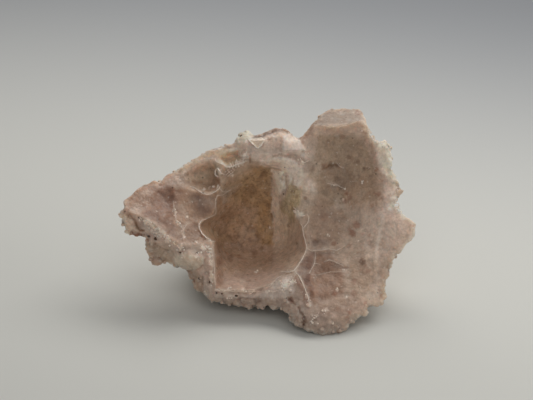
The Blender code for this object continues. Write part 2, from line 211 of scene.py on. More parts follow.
# The combs: the way that the spikes point (across, up, out of the face), and the line that they stand on
COMBS = [
    ((-0.35, 1, 0.9), [(-12.6, 56.9), (-10.8, 57.5), (-8.6, 58.3), (-7.6, 58.9)]),
    ((0.1, 0.8, 0.9), [(-10.1, 61.1), (-8.8, 60.3), (-7.7, 60.5)]),
    ((0, 1, 0.6), [(-9, 58.4), (-8.4, 59.4), (-8.2, 60.2)]),
    ((0.2, 0.9, 0.6), [(-17.6, 49.3), (-16.9, 49.3), (-16.2, 48.6)]),
    ((-0.9, 0.3, 0.6), [(9.7, 42), (9.8, 40.8), (10.6, 40)]),
]

# The curled thread on the right edge: across, up, deep
THREAD = [(42.6, 43.6, 8), (43.4, 44.4, 7), (44, 43.8, 6), (44.6, 44.4, 6), (45.3, 43.6, 6.5),
          (45.1, 42.6, 7), (44.2, 42.1, 7.5), (43.4, 42.9, 9)]
THREAD_RADIUS = 0.16

# A thin flake that stands a little off the block
FLAKE = [(-6.8, 66), (-5.2, 64.4), (-3.5, 62.9), (-2, 64.3), (-1, 66), (-2.4, 66.9)]
FLAKE_FACE, FLAKE_EDGE = (212, 190, 170), (250, 236, 222)  # display colours
# Its layers: how far each is out of the crust in millimetres, its share of the outline, and its colour
FLAKE_LAYERS = ((-0.8, 1, FLAKE_EDGE), (0.5, 1, FLAKE_EDGE), (0.55, 0.72, FLAKE_FACE))

# Dark grains of ore set in the quartz: across, up, radius
ORE_GRAINS = [
    (-40.7, 32.8, 0.5), (-38.2, 32.1, 0.7), (-43.8, 39.2, 0.4), (-23.3, 18.3, 0.6), (-17.5, 13.5, 0.4),
    (-15.7, 13.3, 0.4), (-10.8, 12.6, 0.5), (-9.2, 67.6, 0.5), (5.5, 47.3, 0.3), (-29.8, 27.3, 0.4),
    (-24.3, 27.1, 0.3), (-19.9, 17.2, 0.4),
]
ORE_SHAPE = (1.2, 0.85, 0.8)  # what each grain's ball is stretched by
ORE_BUMPS, ORE_BUMP_SCALE = 0.35, 1.3  # how high its bumps are, and how closely they follow each other
ORE_SUNK = 0.1  # how far below the crust its middle is, as a share of its radius

# Rounded lumps and small pits of the hollow side: across, up, radius, height
MOUNDS = [
    (4.5, 58.7, 3.2, 0.7), (11.7, 55.2, 2.4, 0.7), (7.6, 11.4, 1.1, -1), (-6.4, 59, 0.7, -0.8),
    (16.3, 30.3, 1.4, -0.6), (4.2, 50.4, 2.2, 0.8), (7.5, 51.8, 1.3, 0.8), (10, 50.6, 1.5, 0.8),
    (3.6, 54.3, 1.6, 0.6), (12.8, 48.6, 1.6, 0.6), (1.4, 25, 1.2, 0.4), (22, 56.9, 2, -0.5),
    (-39, 33, 1.5, -0.5), (26.5, 24, 2.2, 0.5), (5.6, 16.6, 2, 0.6), (-27, 25, 3.5, 0.9),
    (-41.5, 37.8, 1.2, 0.5),
]

MOUND_POWER = 0.8  # less than 1 makes the mounds flatter on top

# Plates of the hollow side that stand proud with a crisp edge: height, how soft the edge is, outline
PLATES = {
    "block face": (0.9, 0.2, [(4.9, 62), (5, 67.3), (9, 68.4), (10.5, 66.4), (11.8, 63.8), (12.9, 62.2)]),
    "stripe lumps": (0.5, 0.2, [
        (1.8, 56), (5.6, 54.8), (4.4, 52.4), (5.9, 50.6), (5.2, 48), (3.9, 46.6), (1.9, 47)]),
    "stripe": (0.15, 0.5, [(1.5, 47), (3.9, 46.6), (4, 41.5), (6.8, 40), (6.9, 35), (6.4, 31), (1.9, 31)]),
    "brow": (0.7, 0.2, [
        (-1.2, 57.7), (0.4, 59.6), (4.2, 60.2), (9.5, 59), (11.6, 56.4), (9, 54.4), (5.6, 55.2),
        (1.2, 56.7)]),
    "upper panel": (-0.6, 1.2, [
        (16.2, 67.6), (26, 67.8), (36, 66.6), (37.6, 58), (36.9, 45.5), (24, 42.8), (16.5, 48), (16, 58)]),
    "pink hollow": (-0.6, 0.8, [
        (15.5, 26.9), (23.8, 27), (32.5, 27.4), (32.1, 19.3), (25.2, 12.4), (17.5, 10.4), (15.1, 17.9)]),
    "tongue dip": (-0.6, 2, [(-38, 48), (-34, 47.5), (-33, 46), (-32.4, 41), (-36, 41)]),
    "saddle": (0.5, 1.5, [(-33, 53), (-30, 55), (-28, 53), (-29, 49), (-32, 49)]),
    "right rib": (0.5, 1, [
        (40, 40), (37.8, 30), (37.4, 22), (37.8, 14), (36.6, 14), (36.2, 22), (36.6, 30), (38.6, 40)]),
    "comb notch": (-1.8, 0.7, [
        (-14.3, 56.9), (-12, 57.6), (-10, 58.2), (-8.9, 58.8), (-9, 61), (-10.5, 62), (-13, 61.2),
        (-16, 59.8)]),
    "spur lobe": (0.6, 0.3, [
        (12.4, 13.4), (13.6, 12.4), (14.6, 9.6), (14.2, 8.8), (12.8, 9.6), (12.2, 11.6)]),
    "cream lobe": (0.8, 0.6, [
        (-32, 27.2), (-26, 26.5), (-21.6, 25.6), (-21.8, 23.2), (-25.5, 21), (-32, 22.6)]),
    "tip lobe": (0.35, 0.5, [
        (-51.5, 41.2), (-48.4, 40.2), (-46.2, 38.4), (-44.6, 35.2), (-43.4, 34), (-44, 32), (-49, 33)]),
}

SUGARY_CORE = 0.3  # share of a band's half width that is sugary all over

# Sugary white bands and patches: strength, half width, then the line that each follows
SUGARY = [
    (0.9, 1.1, [(-43.4, 38.6), (-40.6, 37.6), (-38.4, 36), (-36.2, 34.2), (-34.4, 32.2), (-32.4, 30)]),
    (0.6, 0.9, [(-40.4, 35.4), (-37.6, 33.6), (-35.8, 32.4)]),
    (0.9, 0.9, [(-34.8, 31.8), (-33.8, 31)]),
    (1, 1.2, [(-32, 30.4), (-30.8, 28.6), (-29, 28.4), (-28.9, 29.7)]),
    (0.7, 1, [(-29, 29.5), (-28.9, 26.2)]),
    (0.7, 1.1, [(-24.2, 26.4), (-23, 26.9)]),
    (1, 1.2, [(-22.4, 29.2), (-19.9, 28.2), (-19.8, 26.4)]),
    (0.7, 0.9, [(-19.6, 24.2), (-19.3, 20), (-19.2, 16)]),
    (0.7, 0.9, [(-21.6, 13.6), (-21.4, 12.2)]),
    (0.8, 0.7, [(-18, 14.6), (-15.2, 14.3)]),
    (0.8, 0.5, [(-13.5, 15.1), (-13.1, 15.1)]),
    (0.8, 0.7, [(-8.6, 14.9), (-7, 13.8), (-5, 13.9)]),
    (0.6, 0.7, [(-14, 12), (-11.4, 12.2)]),
    (0.7, 0.6, [(-0.8, 13.9), (1.2, 13.9)]),
    (1, 1.2, [(3.9, 14.8), (5.2, 15)]),
    (0.8, 0.9, [(9.6, 41.2), (10.8, 40.2)]),
    (1, 1.7, [(5, 15.4), (6.4, 16.4), (8, 17.6)]),
    (0.5, 0.8, [(1.8, 16.2), (4, 17.4)]),
    (0.9, 0.9, [(13, 12.4), (14, 9.6)]),
    (0.6, 0.8, [(15.5, 5.8), (17.6, 7.1), (19.8, 8.2)]),
    (0.5, 0.8, [(14.4, 4.8), (16.6, 3.4)]),
    (0.5, 0.7, [(20.4, 4.6), (21.8, 3.6), (23.6, 3)]),
    (0.6, 0.7, [(-24, 58.9), (-18.6, 59.5)]),
    (1, 1.2, [(-9.2, 58.2), (-8.4, 59.4), (-8.4, 60.8)]),
    (0.5, 1, [(26.2, 21.2), (27.4, 21)]),
    (1, 1, [(11.6, 59.4), (11.8, 58)]),
    (0.5, 0.8, [(11.8, 63.6), (13.6, 61)]),
    (1, 0.9, [(-17.1, 55.4), (-16.4, 54.6)]),
    (0.6, 0.4, [(-32.2, 43), (-31.9, 41), (-31.4, 38.1), (-29.8, 36.2), (-28.8, 33)]),
    (0.5, 0.8, [(32.6, 69.8), (34, 69.2)]),
    (0.5, 1.3, [(43.4, 52), (44.6, 49.4), (44, 46.4)]),
    (0.5, 0.7, [(48.6, 35.8), (49.4, 35.2)]),
]

# Where single white grains sparkle: white is painted there, partly the grains' own white and partly painted
# glints
SPARKLES = [
    (26.6, 49.3), (26.2, 45.4), (23.3, 50.5), (32.8, 51.5), (39.7, 41.3), (-27.7, 39.4), (-31, 37.8),
    (-31.6, 41), (-23.6, 45.2), (23.6, 14.6), (26.5, 12.3), (-4, 20.2), (-24.5, 30.8), (-28.6, 32.6),
    (42.6, 53.5), (33.6, 69.6), (-12.4, 53.8), (9.4, 52.4), (0.8, 35.4), (-20.2, 49.4), (-22.2, 49),
    (-18.9, 49.8), (21, 33), (31.5, 31),
]
SPARKLE = 0.9  # how sugary
SPARKLE_EDGE = (0.3, 0.6)  # where a sparkle starts to fade and where it ends, in millimetres

# Soft stains: across, up, radius, strength
DARK_SPOTS = [
    (-37, 50.3, 0.5, 0.5), (-43.6, 39.1, 0.6, 0.5), (-28.2, 54.2, 0.9, 0.4), (-32.4, 46.7, 0.7, 0.4),
    (-44.9, 40.8, 0.9, 0.3), (-38.6, 29.6, 1, 0.4), (-29.9, 27.3, 0.7, 0.6), (-24.2, 27, 0.6, 0.5),
    (-19.8, 17.2, 0.6, 0.5), (-21, 20.3, 0.6, 0.3), (-15.8, 39.3, 1.2, 0.4), (-13.7, 32.2, 0.9, 0.5),
    (-10.6, 32.2, 0.8, 0.5), (-12, 32.1, 0.7, 0.4), (-10.5, 29.8, 1, 0.5), (-17.2, 32.8, 1, 0.4),
    (-15.4, 34, 0.6, 0.4), (-3.6, 32.4, 1.2, 0.5), (-2.2, 28, 0.9, 0.6), (-4.8, 26.2, 1.4, 0.4),
    (-16.2, 24.8, 1.3, 0.4), (-13.2, 24.8, 1.3, 0.4), (-8.1, 45.1, 1.4, 0.4), (-6, 48.5, 2.4, 0.4),
    (-3.2, 52.6, 0.9, 0.4), (-1.2, 54.6, 1.3, 0.5), (-2.2, 53.2, 1, 0.4), (-7.6, 52.8, 0.9, 0.4),
    (0.4, 43.2, 1.2, 0.4), (5.3, 47.2, 0.7, 0.2), (8.7, 48.2, 0.8, 0.5), (9.9, 46.2, 0.6, 0.5),
    (6.1, 43.4, 0.8, 0.5), (4.3, 44.3, 0.7, 0.4), (9, 42, 0.9, 0.5), (7.2, 36.2, 0.6, 0.6),
    (10.1, 30.1, 0.6, 0.6), (7.2, 24.4, 0.7, 0.4), (8.3, 38.3, 1.2, 0.3), (-6.6, 36, 0.7, 0.4),
    (-6.5, 31, 0.9, 0.4), (-12, 47.2, 0.9, 0.4), (3.8, 60.2, 1.1, 0.4), (7.5, 60.6, 0.9, 0.3),
    (6.6, 53.5, 0.6, 0.4), (7, 51.8, 0.7, 0.4), (4.9, 52.3, 0.6, 0.4), (-3.5, 10.9, 1.5, 0.4),
    (21.1, 65.8, 0.8, 0.5), (28.2, 60.2, 0.8, 0.5), (31.1, 58.3, 0.8, 0.6), (31.8, 60.8, 0.6, 0.4),
    (33.5, 56.1, 0.7, 0.8), (35.1, 56, 0.5, 0.7), (22, 56.9, 1.3, 0.5), (24.3, 57.4, 0.8, 0.6),
    (28.8, 54, 0.7, 0.4), (24.3, 52.5, 1.2, 0.4), (22.6, 50.1, 0.8, 0.5), (25.4, 49.6, 0.9, 0.5),
    (25.5, 45.5, 0.6, 0.8), (22.3, 43.8, 1, 0.3), (44.8, 49, 0.6, 0.7), (34.1, 68.4, 0.6, 0.5),
    (11, 66.5, 0.8, 0.3), (32.5, 24, 1.2, 0.8), (38, 20.6, 0.9, 0.4), (37.9, 14.5, 0.7, 0.4),
    (21.6, 16.8, 0.8, 0.6), (35.3, 30.8, 0.6, 0.4), (39.7, 31, 1.5, 0.3), (47.8, 33.1, 0.9, 0.3),
    (16, 5.2, 0.9, 0.5), (12, 5, 1.1, 0.7), (11.2, 7.2, 0.8, 0.6), (12, 3.2, 0.5, 0.8),
    (33.4, 34.6, 0.6, 0.5), (18.5, 26.6, 1, 0.4), (12.8, 17.7, 1.1, 0.4),
]
RUSTY_SPOTS = [
    (-21.7, 56.4, 0.9, 0.3), (26, 67, 0.9, 0.4), (37.6, 55.8, 0.8, 0.6), (19.6, 57, 1.1, 0.5),
    (27, 44.8, 0.9, 0.6), (27.4, 47.5, 0.8, 0.7), (38.3, 47.2, 0.9, 0.5), (37.1, 47.5, 0.6, 0.4),
    (39.2, 52, 0.7, 0.5), (39.1, 45.7, 0.7, 0.5), (36, 43.2, 0.9, 0.4), (19.5, 39.3, 1.7, 0.3),
    (29.3, 33.6, 1.3, 0.7), (30.6, 36.5, 1.5, 0.6), (28.5, 35, 0.9, 0.4), (28.2, 29.7, 0.9, 0.4),
    (34.9, 33, 0.7, 0.4), (34.3, 21, 1, 0.4), (33.6, 22.4, 0.9, 0.4), (22.7, 13.4, 0.9, 0.5),
    (29.4, 17.3, 1.1, 0.4), (29.2, 13.3, 1.4, 0.4), (33.1, 10.2, 0.8, 0.5), (27.6, 7.2, 0.8, 0.6),
    (26.6, 5.5, 0.9, 0.5), (23.6, 8.5, 0.9, 0.4), (0.4, 66, 0.5, 0.6), (-1.8, 64.2, 0.6, 0.7),
    (7.9, 11.2, 1.2, 0.6), (-8.2, 9.2, 0.8, 0.5), (31.2, 75.6, 1, 0.8),
]
DARK_STAIN, RUSTY_STAIN = (142, 110, 88), (196, 134, 104)  # display colours that multiply the crust's
STAIN_SHARE = 0.8
SPOT_EDGE = (0.5, 1.25)  # where a stain starts to fade and where it ends, in its radii

# Parts of the broken edge that are smooth and thin rather than lumpy
SMOOTH_EDGES = [
    [(-54, 40.5), (-54, 62), (-12, 68), (-12, 62), (-32, 50), (-45, 42)],
    [(12, 68), (12, 82), (35, 82), (35, 69)],
    [(-6, 63), (-4, 74), (13, 74), (13, 62)],
    [(44, 42), (54, 42), (54, 30), (44, 27)],
]
SMOOTH_SHARE = 0.3  # of a lumpy edge's lumps
LUMPY_EDGE = (1.2, 3.6)  # how far in from the outline the lumps fade, in millimetres
RIM_BODY = 0.2  # share of the lumps on a broken rim inside its edge

# Where a crack and its stain start to fade and where they end, in millimetres from its line
CRACK_EDGE, CRACK_STAIN_EDGE = (0.05, 0.45), (0.1, 0.6)

# Cracks: how deep in millimetres, how stained, and the line that each follows
CRACKS = {
    "stained": (0.4, 0.9, [
        (-48.2, 39.8), (-46.4, 38.9), (-45.2, 38.2), (-44.9, 36.6), (-44.4, 35.6), (-43.6, 34.9),
        (-42.4, 34.8)]),
    "under the white lump": (0.25, 0.2, [(4.9, 51.6), (5.9, 50.4), (5.2, 48), (3.9, 46.6)]),
    "between the lumps": (0.5, 0.35, [(6.2, 53.4), (6.2, 51.6), (6.6, 49.4), (6, 47.4)]),
    "right of the lumps": (0.4, 0.25, [(8.8, 52.6), (8.4, 50.6), (9.4, 48.8), (11.4, 49)]),
    "beside the comb": (0.4, 0.5, [(-6.2, 60.6), (-6.2, 58.2)]),
    "beside the stripe": (0.3, 0.6, [(1.4, 40.2), (1.6, 37.9)]),
    "under the brow": (0.2, 0.3, [(-1.2, 57.5), (1.2, 56.6), (4.4, 55.6)]),
    "panel crack": (0.2, 0.6, [
        (18.9, 55.8), (20.6, 56.5), (21.4, 57.5), (22.2, 57.1), (23.4, 57.4), (25, 56.2)]),
    "front crevice": (0.7, 0.3, [(10.3, 9), (11.3, 7), (12.4, 5.2), (12.1, 3.2)]),
    "rim crevice": (0.5, 0.2, [(-38.6, 30.6), (-36.2, 28.8), (-32.6, 27.6), (-31.6, 26)]),
    "lobe crevice": (0.5, 0.2, [(-28, 20.8), (-25, 21), (-22.4, 22.6), (-21.6, 25.2)]),
    "column crevice": (0.4, 0.2, [(-22.4, 19.4), (-22.2, 16), (-21.8, 12)]),
    "sill crevice": (0.5, 0.2, [(-17, 11.4), (-11, 11.6), (-5, 11.6), (-1.6, 10), (4, 9.4)]),
    "spur crevice": (0.5, 0.3, [(6.6, 12.4), (8.2, 10.8), (9.4, 9.6)]),
}

# ------------------------ Display colours, from 0 to 255

# Each cast's own tint
TINTS = {
    "tongue": (160, 125, 105),
    "second face": (178, 146, 124),
    "upper hollow": (220, 192, 168),
    "small hollow": (228, 212, 194),
    "pocket shoulder": (202, 174, 150),
    "pocket wall": (224, 194, 162),
    "pocket right": (220, 196, 170),
    "pocket floor": (194, 165, 148),
    "block": (232, 214, 200),
    "panel": (205, 182, 164),
    "tongue rim": (210, 182, 164),
    "front rim": (184, 162, 148),
}

# Stained and milky patches, and patches of painted shade and painted light: display colour, strength, how
# soft the edge is, how grainy it is, and its outline
PATCHES = {
    "brown wall": ((198, 162, 130), 0.8, 1.2, 0.7, [
        (-17.9, 46.9), (-14.8, 47.5), (-11.4, 49), (-7.9, 53.4), (-4.8, 56.8), (-1, 57), (1.7, 56),
        (1.8, 38.6), (1.7, 29), (-7.9, 28.6), (-17.9, 30.4), (-18.1, 40)]),
    "brown left": ((190, 156, 128), 0.7, 1.5, 0.5, [
        (-20.4, 46.4), (-17.4, 48.4), (-13.5, 48.4), (-12.1, 40), (-14.8, 33.1), (-18.1, 33.1), (-22.8, 35.5),
        (-22.8, 38)]),
    "brown top": ((200, 164, 124), 0.8, 2, 0.9, [
        (-11.5, 50), (-8.5, 53.6), (-4.8, 56.2), (-1, 56.6), (1.5, 55.8), (1.6, 42), (-3, 42.8), (-8.6, 44),
        (-12, 46.5)]),
    "wall pale": ((214, 180, 152), 0.5, 1.5, 0.4, [
        (-10.5, 43.6), (-6.5, 43.4), (-5, 39.5), (-9, 37.5), (-11.5, 40)]),
    "brown foot": ((196, 164, 138), 0.6, 1.5, 0.6, [
        (-17.9, 30.4), (-7.9, 28.6), (1.7, 29), (1.7, 21.4), (-7.9, 19.8), (-17.9, 20.4)]),
    "brown column": ((196, 158, 114), 0.7, 0.8, 0.8, [
        (-3.4, 44.2), (1.6, 46.9), (1.7, 29.6), (-1.5, 29.2), (-4.5, 33.1)]),
    "light stripe": ((255, 242, 224), 0.8, 0.4, 0.3, [
        (1.3, 56), (5.8, 55.4), (6, 50), (4.4, 47), (3.9, 41.5), (4.4, 37), (1.5, 37)]),
    "stripe foot": ((246, 228, 206), 0.6, 1, 0.3, [
        (1.9, 39.5), (4.2, 41.5), (6.8, 39.5), (7.2, 35), (6.4, 29.5), (2.2, 29), (1.8, 36)]),
    "olive patch": ((208, 188, 152), 0.8, 0.5, 0.8, [
        (5.2, 45.4), (6.6, 48), (6.8, 50.6), (8.2, 51), (10.4, 49.6), (11.8, 48.4), (11.2, 45.4),
        (10.6, 43.4), (9.7, 42.2), (9.4, 37.6), (7.2, 36), (6.9, 40), (4.2, 41.4)]),
    "grey wall": ((216, 190, 166), 0.6, 1, 0.4, [
        (7, 40), (9.4, 37.6), (11.6, 37), (12.6, 32), (12.8, 26.9), (9, 22.4), (2.6, 23), (2.4, 30.5),
        (6.5, 30.5)]),
    "pink floor": ((198, 170, 154), 0.7, 0.8, 0.3, [
        (-17.9, 19.4), (-7.9, 19.2), (0, 19.6), (8.3, 20.8), (3.1, 18.6), (-4.5, 14.8), (-17.9, 15.2)]),
    "hollow stain": ((212, 186, 160), 0.8, 0.8, 0.3, [
        (-27.8, 53), (-25.9, 56.4), (-21.7, 58.8), (-18.6, 59), (-17.9, 57.6), (-16.6, 53.8), (-16.6, 49.7),
        (-19, 48.4), (-21.7, 47.8), (-26.4, 50.2)]),
    "hollow floor": ((150, 118, 96), 0.7, 0.7, 0.2, [
        (-29.6, 52), (-27.6, 50.2), (-25, 49), (-21.5, 47.6), (-18.6, 47.9), (-16.6, 49.8), (-16, 52.6),
        (-18.2, 53.2), (-20, 51.4), (-24, 51.8)]),
    # painted light: the top edge of the upper hollow is painted lighter
    "hollow top": ((228, 210, 196), 0.7, 0.7, 0.2, [
        (-30, 54.6), (-27, 57.6), (-22, 60.4), (-18, 61), (-18.8, 58.8), (-23, 57.6), (-26.6, 55.2)]),
    # painted light: the edge above the small hollow is painted lighter, against the shadow of the comb notch
    "small top": ((226, 210, 194), 0.7, 0.7, 0.2, [
        (-17, 61), (-13, 63.6), (-9, 64), (-8.6, 61.6), (-11, 60.4), (-15.6, 59.8)]),
    # painted shade on the right side of the upper hollow
    "hollow shade": ((178, 144, 118), 0.7, 1.2, 0.3, [
        (-20.5, 57.3), (-18.4, 57), (-17.3, 53.8), (-17.2, 50), (-20, 49), (-21, 52.4)]),
    "small stain": ((232, 214, 190), 0.8, 0.7, 0.3, [
        (-17.7, 60.7), (-14.8, 61.8), (-11.4, 61.8), (-9.2, 60.4), (-9.4, 58.8), (-13.5, 57), (-16.2, 58.3)]),
    "saddle": ((176, 156, 142), 0.8, 1.5, 0.1, [
        (-33.5, 53.5), (-30, 55.4), (-28, 54), (-28.6, 49.5), (-31.6, 49)]),
    # painted shade: the concave right part of the tongue is painted darker
    "tongue shade": ((138, 102, 84), 0.8, 2, 0.1, [
        (-37.6, 46.4), (-34, 47), (-32, 45.4), (-30.6, 40.2), (-33.6, 38.8), (-38.5, 43.6)]),
    # painted light: the top edge of the tongue is painted lighter, against the shade of the dip below it
    "tongue top": ((212, 190, 176), 0.7, 1, 0.1, [
        (-45, 47), (-40, 51), (-34, 54.5), (-30.5, 54.5), (-32, 50), (-37, 49.5), (-41, 47.5)]),
    # painted shade: darker along the foot of the tongue above the lip crest, dimming the crest's lit side,
    # over the tongue's own mauve-brown
    "tongue foot": ((134, 102, 86), 0.8, 1.5, 0.1, [
        (-46, 42.4), (-41.5, 42.4), (-37, 41.5), (-33, 38), (-30.5, 35), (-29.6, 31.2), (-33, 32.4),
        (-36.6, 36.2), (-39.6, 38.6), (-43.6, 40.2)]),
    # painted light: the lit left part of the tongue is painted lighter
    "tongue painted light": ((192, 164, 146), 0.6, 2.5, 0, [
        (-48.5, 45), (-46, 48), (-41, 50), (-40.5, 43), (-44, 40.6), (-48.5, 41.6)]),
    # painted shade: the right part of the second face is painted darker
    "second face": ((128, 96, 80), 0.7, 2, 0.1, [
        (-24, 46.9), (-18.4, 46.2), (-18.6, 40.7), (-22.5, 39), (-24, 41.5), (-26.6, 47.1)]),
    "lip": ((146, 118, 100), 0.6, 1.5, 0.1, [
        (-31, 37), (-24.6, 37), (-22.5, 32.5), (-19, 30.5), (-29.7, 30)]),
    "upper panel": ((188, 162, 138), 0.8, 1, 0.4, [
        (16.8, 67.8), (26, 67.7), (32.4, 67.2), (34.2, 64.6), (36, 60), (37.4, 56), (36.4, 45.5), (21, 42.8),
        (17.5, 46), (16.4, 51), (13.8, 53.4), (14, 58.6), (15.9, 61)]),
    "smoky middle": ((166, 140, 118), 0.7, 2, 0.5, [
        (19, 57), (24, 58.5), (29.5, 57), (30.5, 51), (26, 46.5), (20, 48), (18, 52)]),
    "under the cap": ((216, 194, 176), 0.6, 0.5, 0.2, [
        (16.4, 67.8), (17.4, 71.2), (24, 70.6), (31.6, 71.8), (33, 67.4), (26, 67.8)]),
    "panel light": ((236, 216, 200), 0.5, 2, 0.1, [(31, 43), (38.6, 46), (40, 40), (38, 26), (33, 25)]),
    "warm panel": ((192, 158, 132), 0.5, 2.5, 0.3, [
        (28, 49), (33, 53.5), (39, 54), (40, 46), (37, 42), (27, 43)]),
    # painted light: the slope at the upper right, which faces away from the lamps, is painted lighter
    "upper right": ((250, 238, 226), 0.7, 0.8, 0.1, [
        (34.4, 68.6), (37, 63), (38, 59), (39, 56), (39.8, 54), (43.5, 54), (43.5, 66)]),
    "right edge": ((244, 228, 218), 0.5, 2, 0.1, [
        (40.5, 52), (43.5, 50), (46.5, 38.5), (38.5, 40), (40, 45)]),
    "right rib": ((236, 218, 204), 0.5, 1.5, 0.1, [
        (40.5, 41), (38.4, 30), (38, 22), (38.4, 13), (36.2, 13), (35.6, 22), (36.2, 30), (38, 40)]),
    "mid panel": ((174, 144, 122), 0.7, 2, 0.3, [
        (16, 46), (24, 43), (27, 43), (28, 36), (24, 29), (15, 30), (13.6, 38)]),
    "pink hollow": ((158, 122, 100), 0.8, 1.5, 0.3, [
        (14.5, 27.4), (21, 26.8), (24, 24), (27, 22), (26, 18), (25.2, 12.4), (15.5, 10.4), (13, 17.9)]),
    # painted shade under the low arc
    "arc shade": ((136, 104, 84), 0.8, 0.7, 0.2, [
        (16.4, 22.6), (20, 23.9), (23.4, 23.3), (25.4, 21.8), (21, 20.8), (16.5, 20.2)]),
    # painted shade in the nook above the branch
    "nook": ((108, 72, 54), 0.6, 1, 0.3, [(15.2, 32.1), (18.5, 31.8), (21.5, 31), (21, 28.9), (14.8, 28.8)]),
    # painted shade in the groove right of the front spur
    "spur right": ((132, 96, 76), 0.8, 0.8, 0.2, [
        (12.4, 19), (14.4, 19.6), (16, 15), (15.4, 11), (14.3, 10.8), (13, 15)]),
    # darker over the lower right
    "darker low patch": ((176, 148, 126), 0.5, 2, 0.2, [(28, 25), (38, 24.5), (38.5, 20), (33, 14.5), (27, 16)]),
    # painted shade right of the ridge, above the front spur
    "spur shade": ((112, 72, 52), 0.8, 0.9, 0.2, [
        (9.8, 20.6), (10.8, 23.6), (13.1, 26.2), (15.5, 26.9), (15.5, 22.1), (13.4, 16.6), (11.4, 17.8)]),
    "pale lumps": ((252, 240, 224), 0.7, 0.5, 0.2, [
        (2.1, 56.2), (5.9, 55.9), (12.1, 55.6), (12.4, 49.6), (11.8, 48.4), (9.4, 50.4), (8.2, 50.4),
        (6.4, 49.8), (5, 47.4), (2.1, 46.6)]),
    "pale brow": ((250, 234, 220), 0.85, 0.4, 0.1, [
        (-3, 57.4), (-2.8, 58.8), (0.4, 59.8), (4.2, 60.2), (8.4, 59.2), (10.2, 57.6), (10.8, 55.4),
        (9, 54.4), (5.6, 55.4), (1.2, 56.8), (-1.2, 57)]),
    "pale shoulder": ((226, 208, 192), 0.5, 1, 0.1, [
        (11.6, 51), (14.8, 50.6), (16.6, 48), (16, 44), (13, 41.6), (11, 42.4), (11.4, 45.4), (11.8, 48.4)]),
    "olive deep": ((206, 182, 146), 0.6, 0.6, 0.6, [
        (8, 48.6), (11.2, 48), (11, 44.6), (9.8, 42.6), (7.6, 43.8)]),
    "block face": ((228, 214, 204), 0.8, 0.3, 0, [
        (4.9, 62), (5, 67.3), (9, 68.4), (10.5, 66.4), (11.8, 63.8), (12.9, 62.2), (12.5, 58.2), (11.4, 58.2),
        (11.6, 61.7)]),
    "cap flank": ((190, 168, 152), 0.6, 0.6, 0.1, [
        (11.6, 66.6), (14.2, 70.2), (17.2, 72.6), (17.2, 71.2), (16.2, 67.6), (15.9, 60), (14.6, 58),
        (13.9, 60.4), (12.9, 62.6)]),
    # painted shade in the gaps of the lattice and below it
    "lattice shade": ((160, 130, 108), 0.5, 0.5, 0.3, [
        (-17.2, 52), (-15.8, 57), (-14.2, 56.2), (-13.6, 52.6), (-10, 52.8), (-8.6, 50), (-14, 46),
        (-15, 43.6), (-21.6, 43), (-21, 46.6), (-17.2, 48.6)]),
    "comb notch": ((206, 178, 148), 0.6, 0.4, 0.3, [
        (-14, 57), (-12, 57.7), (-10, 58.2), (-9.2, 59), (-9.6, 60.4), (-11.6, 60.6), (-15, 59)]),
    "block middle": ((206, 184, 168), 0.6, 0.5, 0, [
        (-3.4, 61.9), (-2, 64), (1.4, 67), (4.8, 67), (4.8, 61.9)]),
    # painted shadow below the step of the block face
    "painted shadow below the block": ((194, 168, 148), 0.7, 0.3, 0.1, [
        (1.6, 61.2), (11.4, 61), (11, 58.9), (9, 59.2), (4, 60.4), (1, 60)]),
    # painted shade in the groove along the front spur
    "spur groove": ((146, 106, 88), 0.7, 0.5, 0.2, [
        (9.4, 19.8), (10.8, 18), (12, 15.4), (13.2, 12.4), (13.9, 10.4), (13, 10.8), (10.4, 16), (9, 18.2)]),
    # painted shadow round the tooth
    "painted shadow round the tooth": ((150, 124, 106), 0.7, 0.5, 0.1, [
        (12.4, 57.4), (12.8, 59), (15.6, 58.8), (16.4, 55), (12.6, 54.6)]),
    "low front": ((166, 136, 118), 0.5, 1.5, 0.2, [
        (15.6, 11.6), (24, 12.6), (31, 12), (33, 8), (24, 5.6), (17.6, 6.6)]),
    "ridge top": ((255, 248, 238), 0.8, 0.4, 0, [
        (9.2, 41.8), (10.6, 41.2), (12.6, 40.2), (11.4, 38.8), (9.8, 39.6)]),
    # painted shade along the left wall of the pocket
    "painted shade left in the pocket": ((150, 116, 96), 0.6, 0.8, 0.2, [
        (-18.5, 30.6), (-16.6, 29), (-15.8, 22), (-14.8, 15.6), (-18, 15.2)]),
    "brow edge": ((250, 225, 190), 0.5, 0.3, 0.2, [
        (-1.3, 57.6), (1.2, 56.8), (4.5, 55.8), (4.5, 55.3), (1, 56.1), (-1.3, 57)]),
}
CRACK_STAIN = (150, 104, 64)
GRAINY = 0.15  # how grainy the crust is outside the patches
MILKY_FOOT, MILKY_FOOT_EDGE = 0.5, (0.1, 0.45)  # how milky the crust is below a septum, and how far from it

# How the edges wander: the size of the waves, and how far they reach, in millimetres
PATCH_WANDER, SPOT_WANDER = (1.6, 0.7), (0.5, 0.5)
WANDER_SEED = 7  # without one, the noise vectors start from the time of day

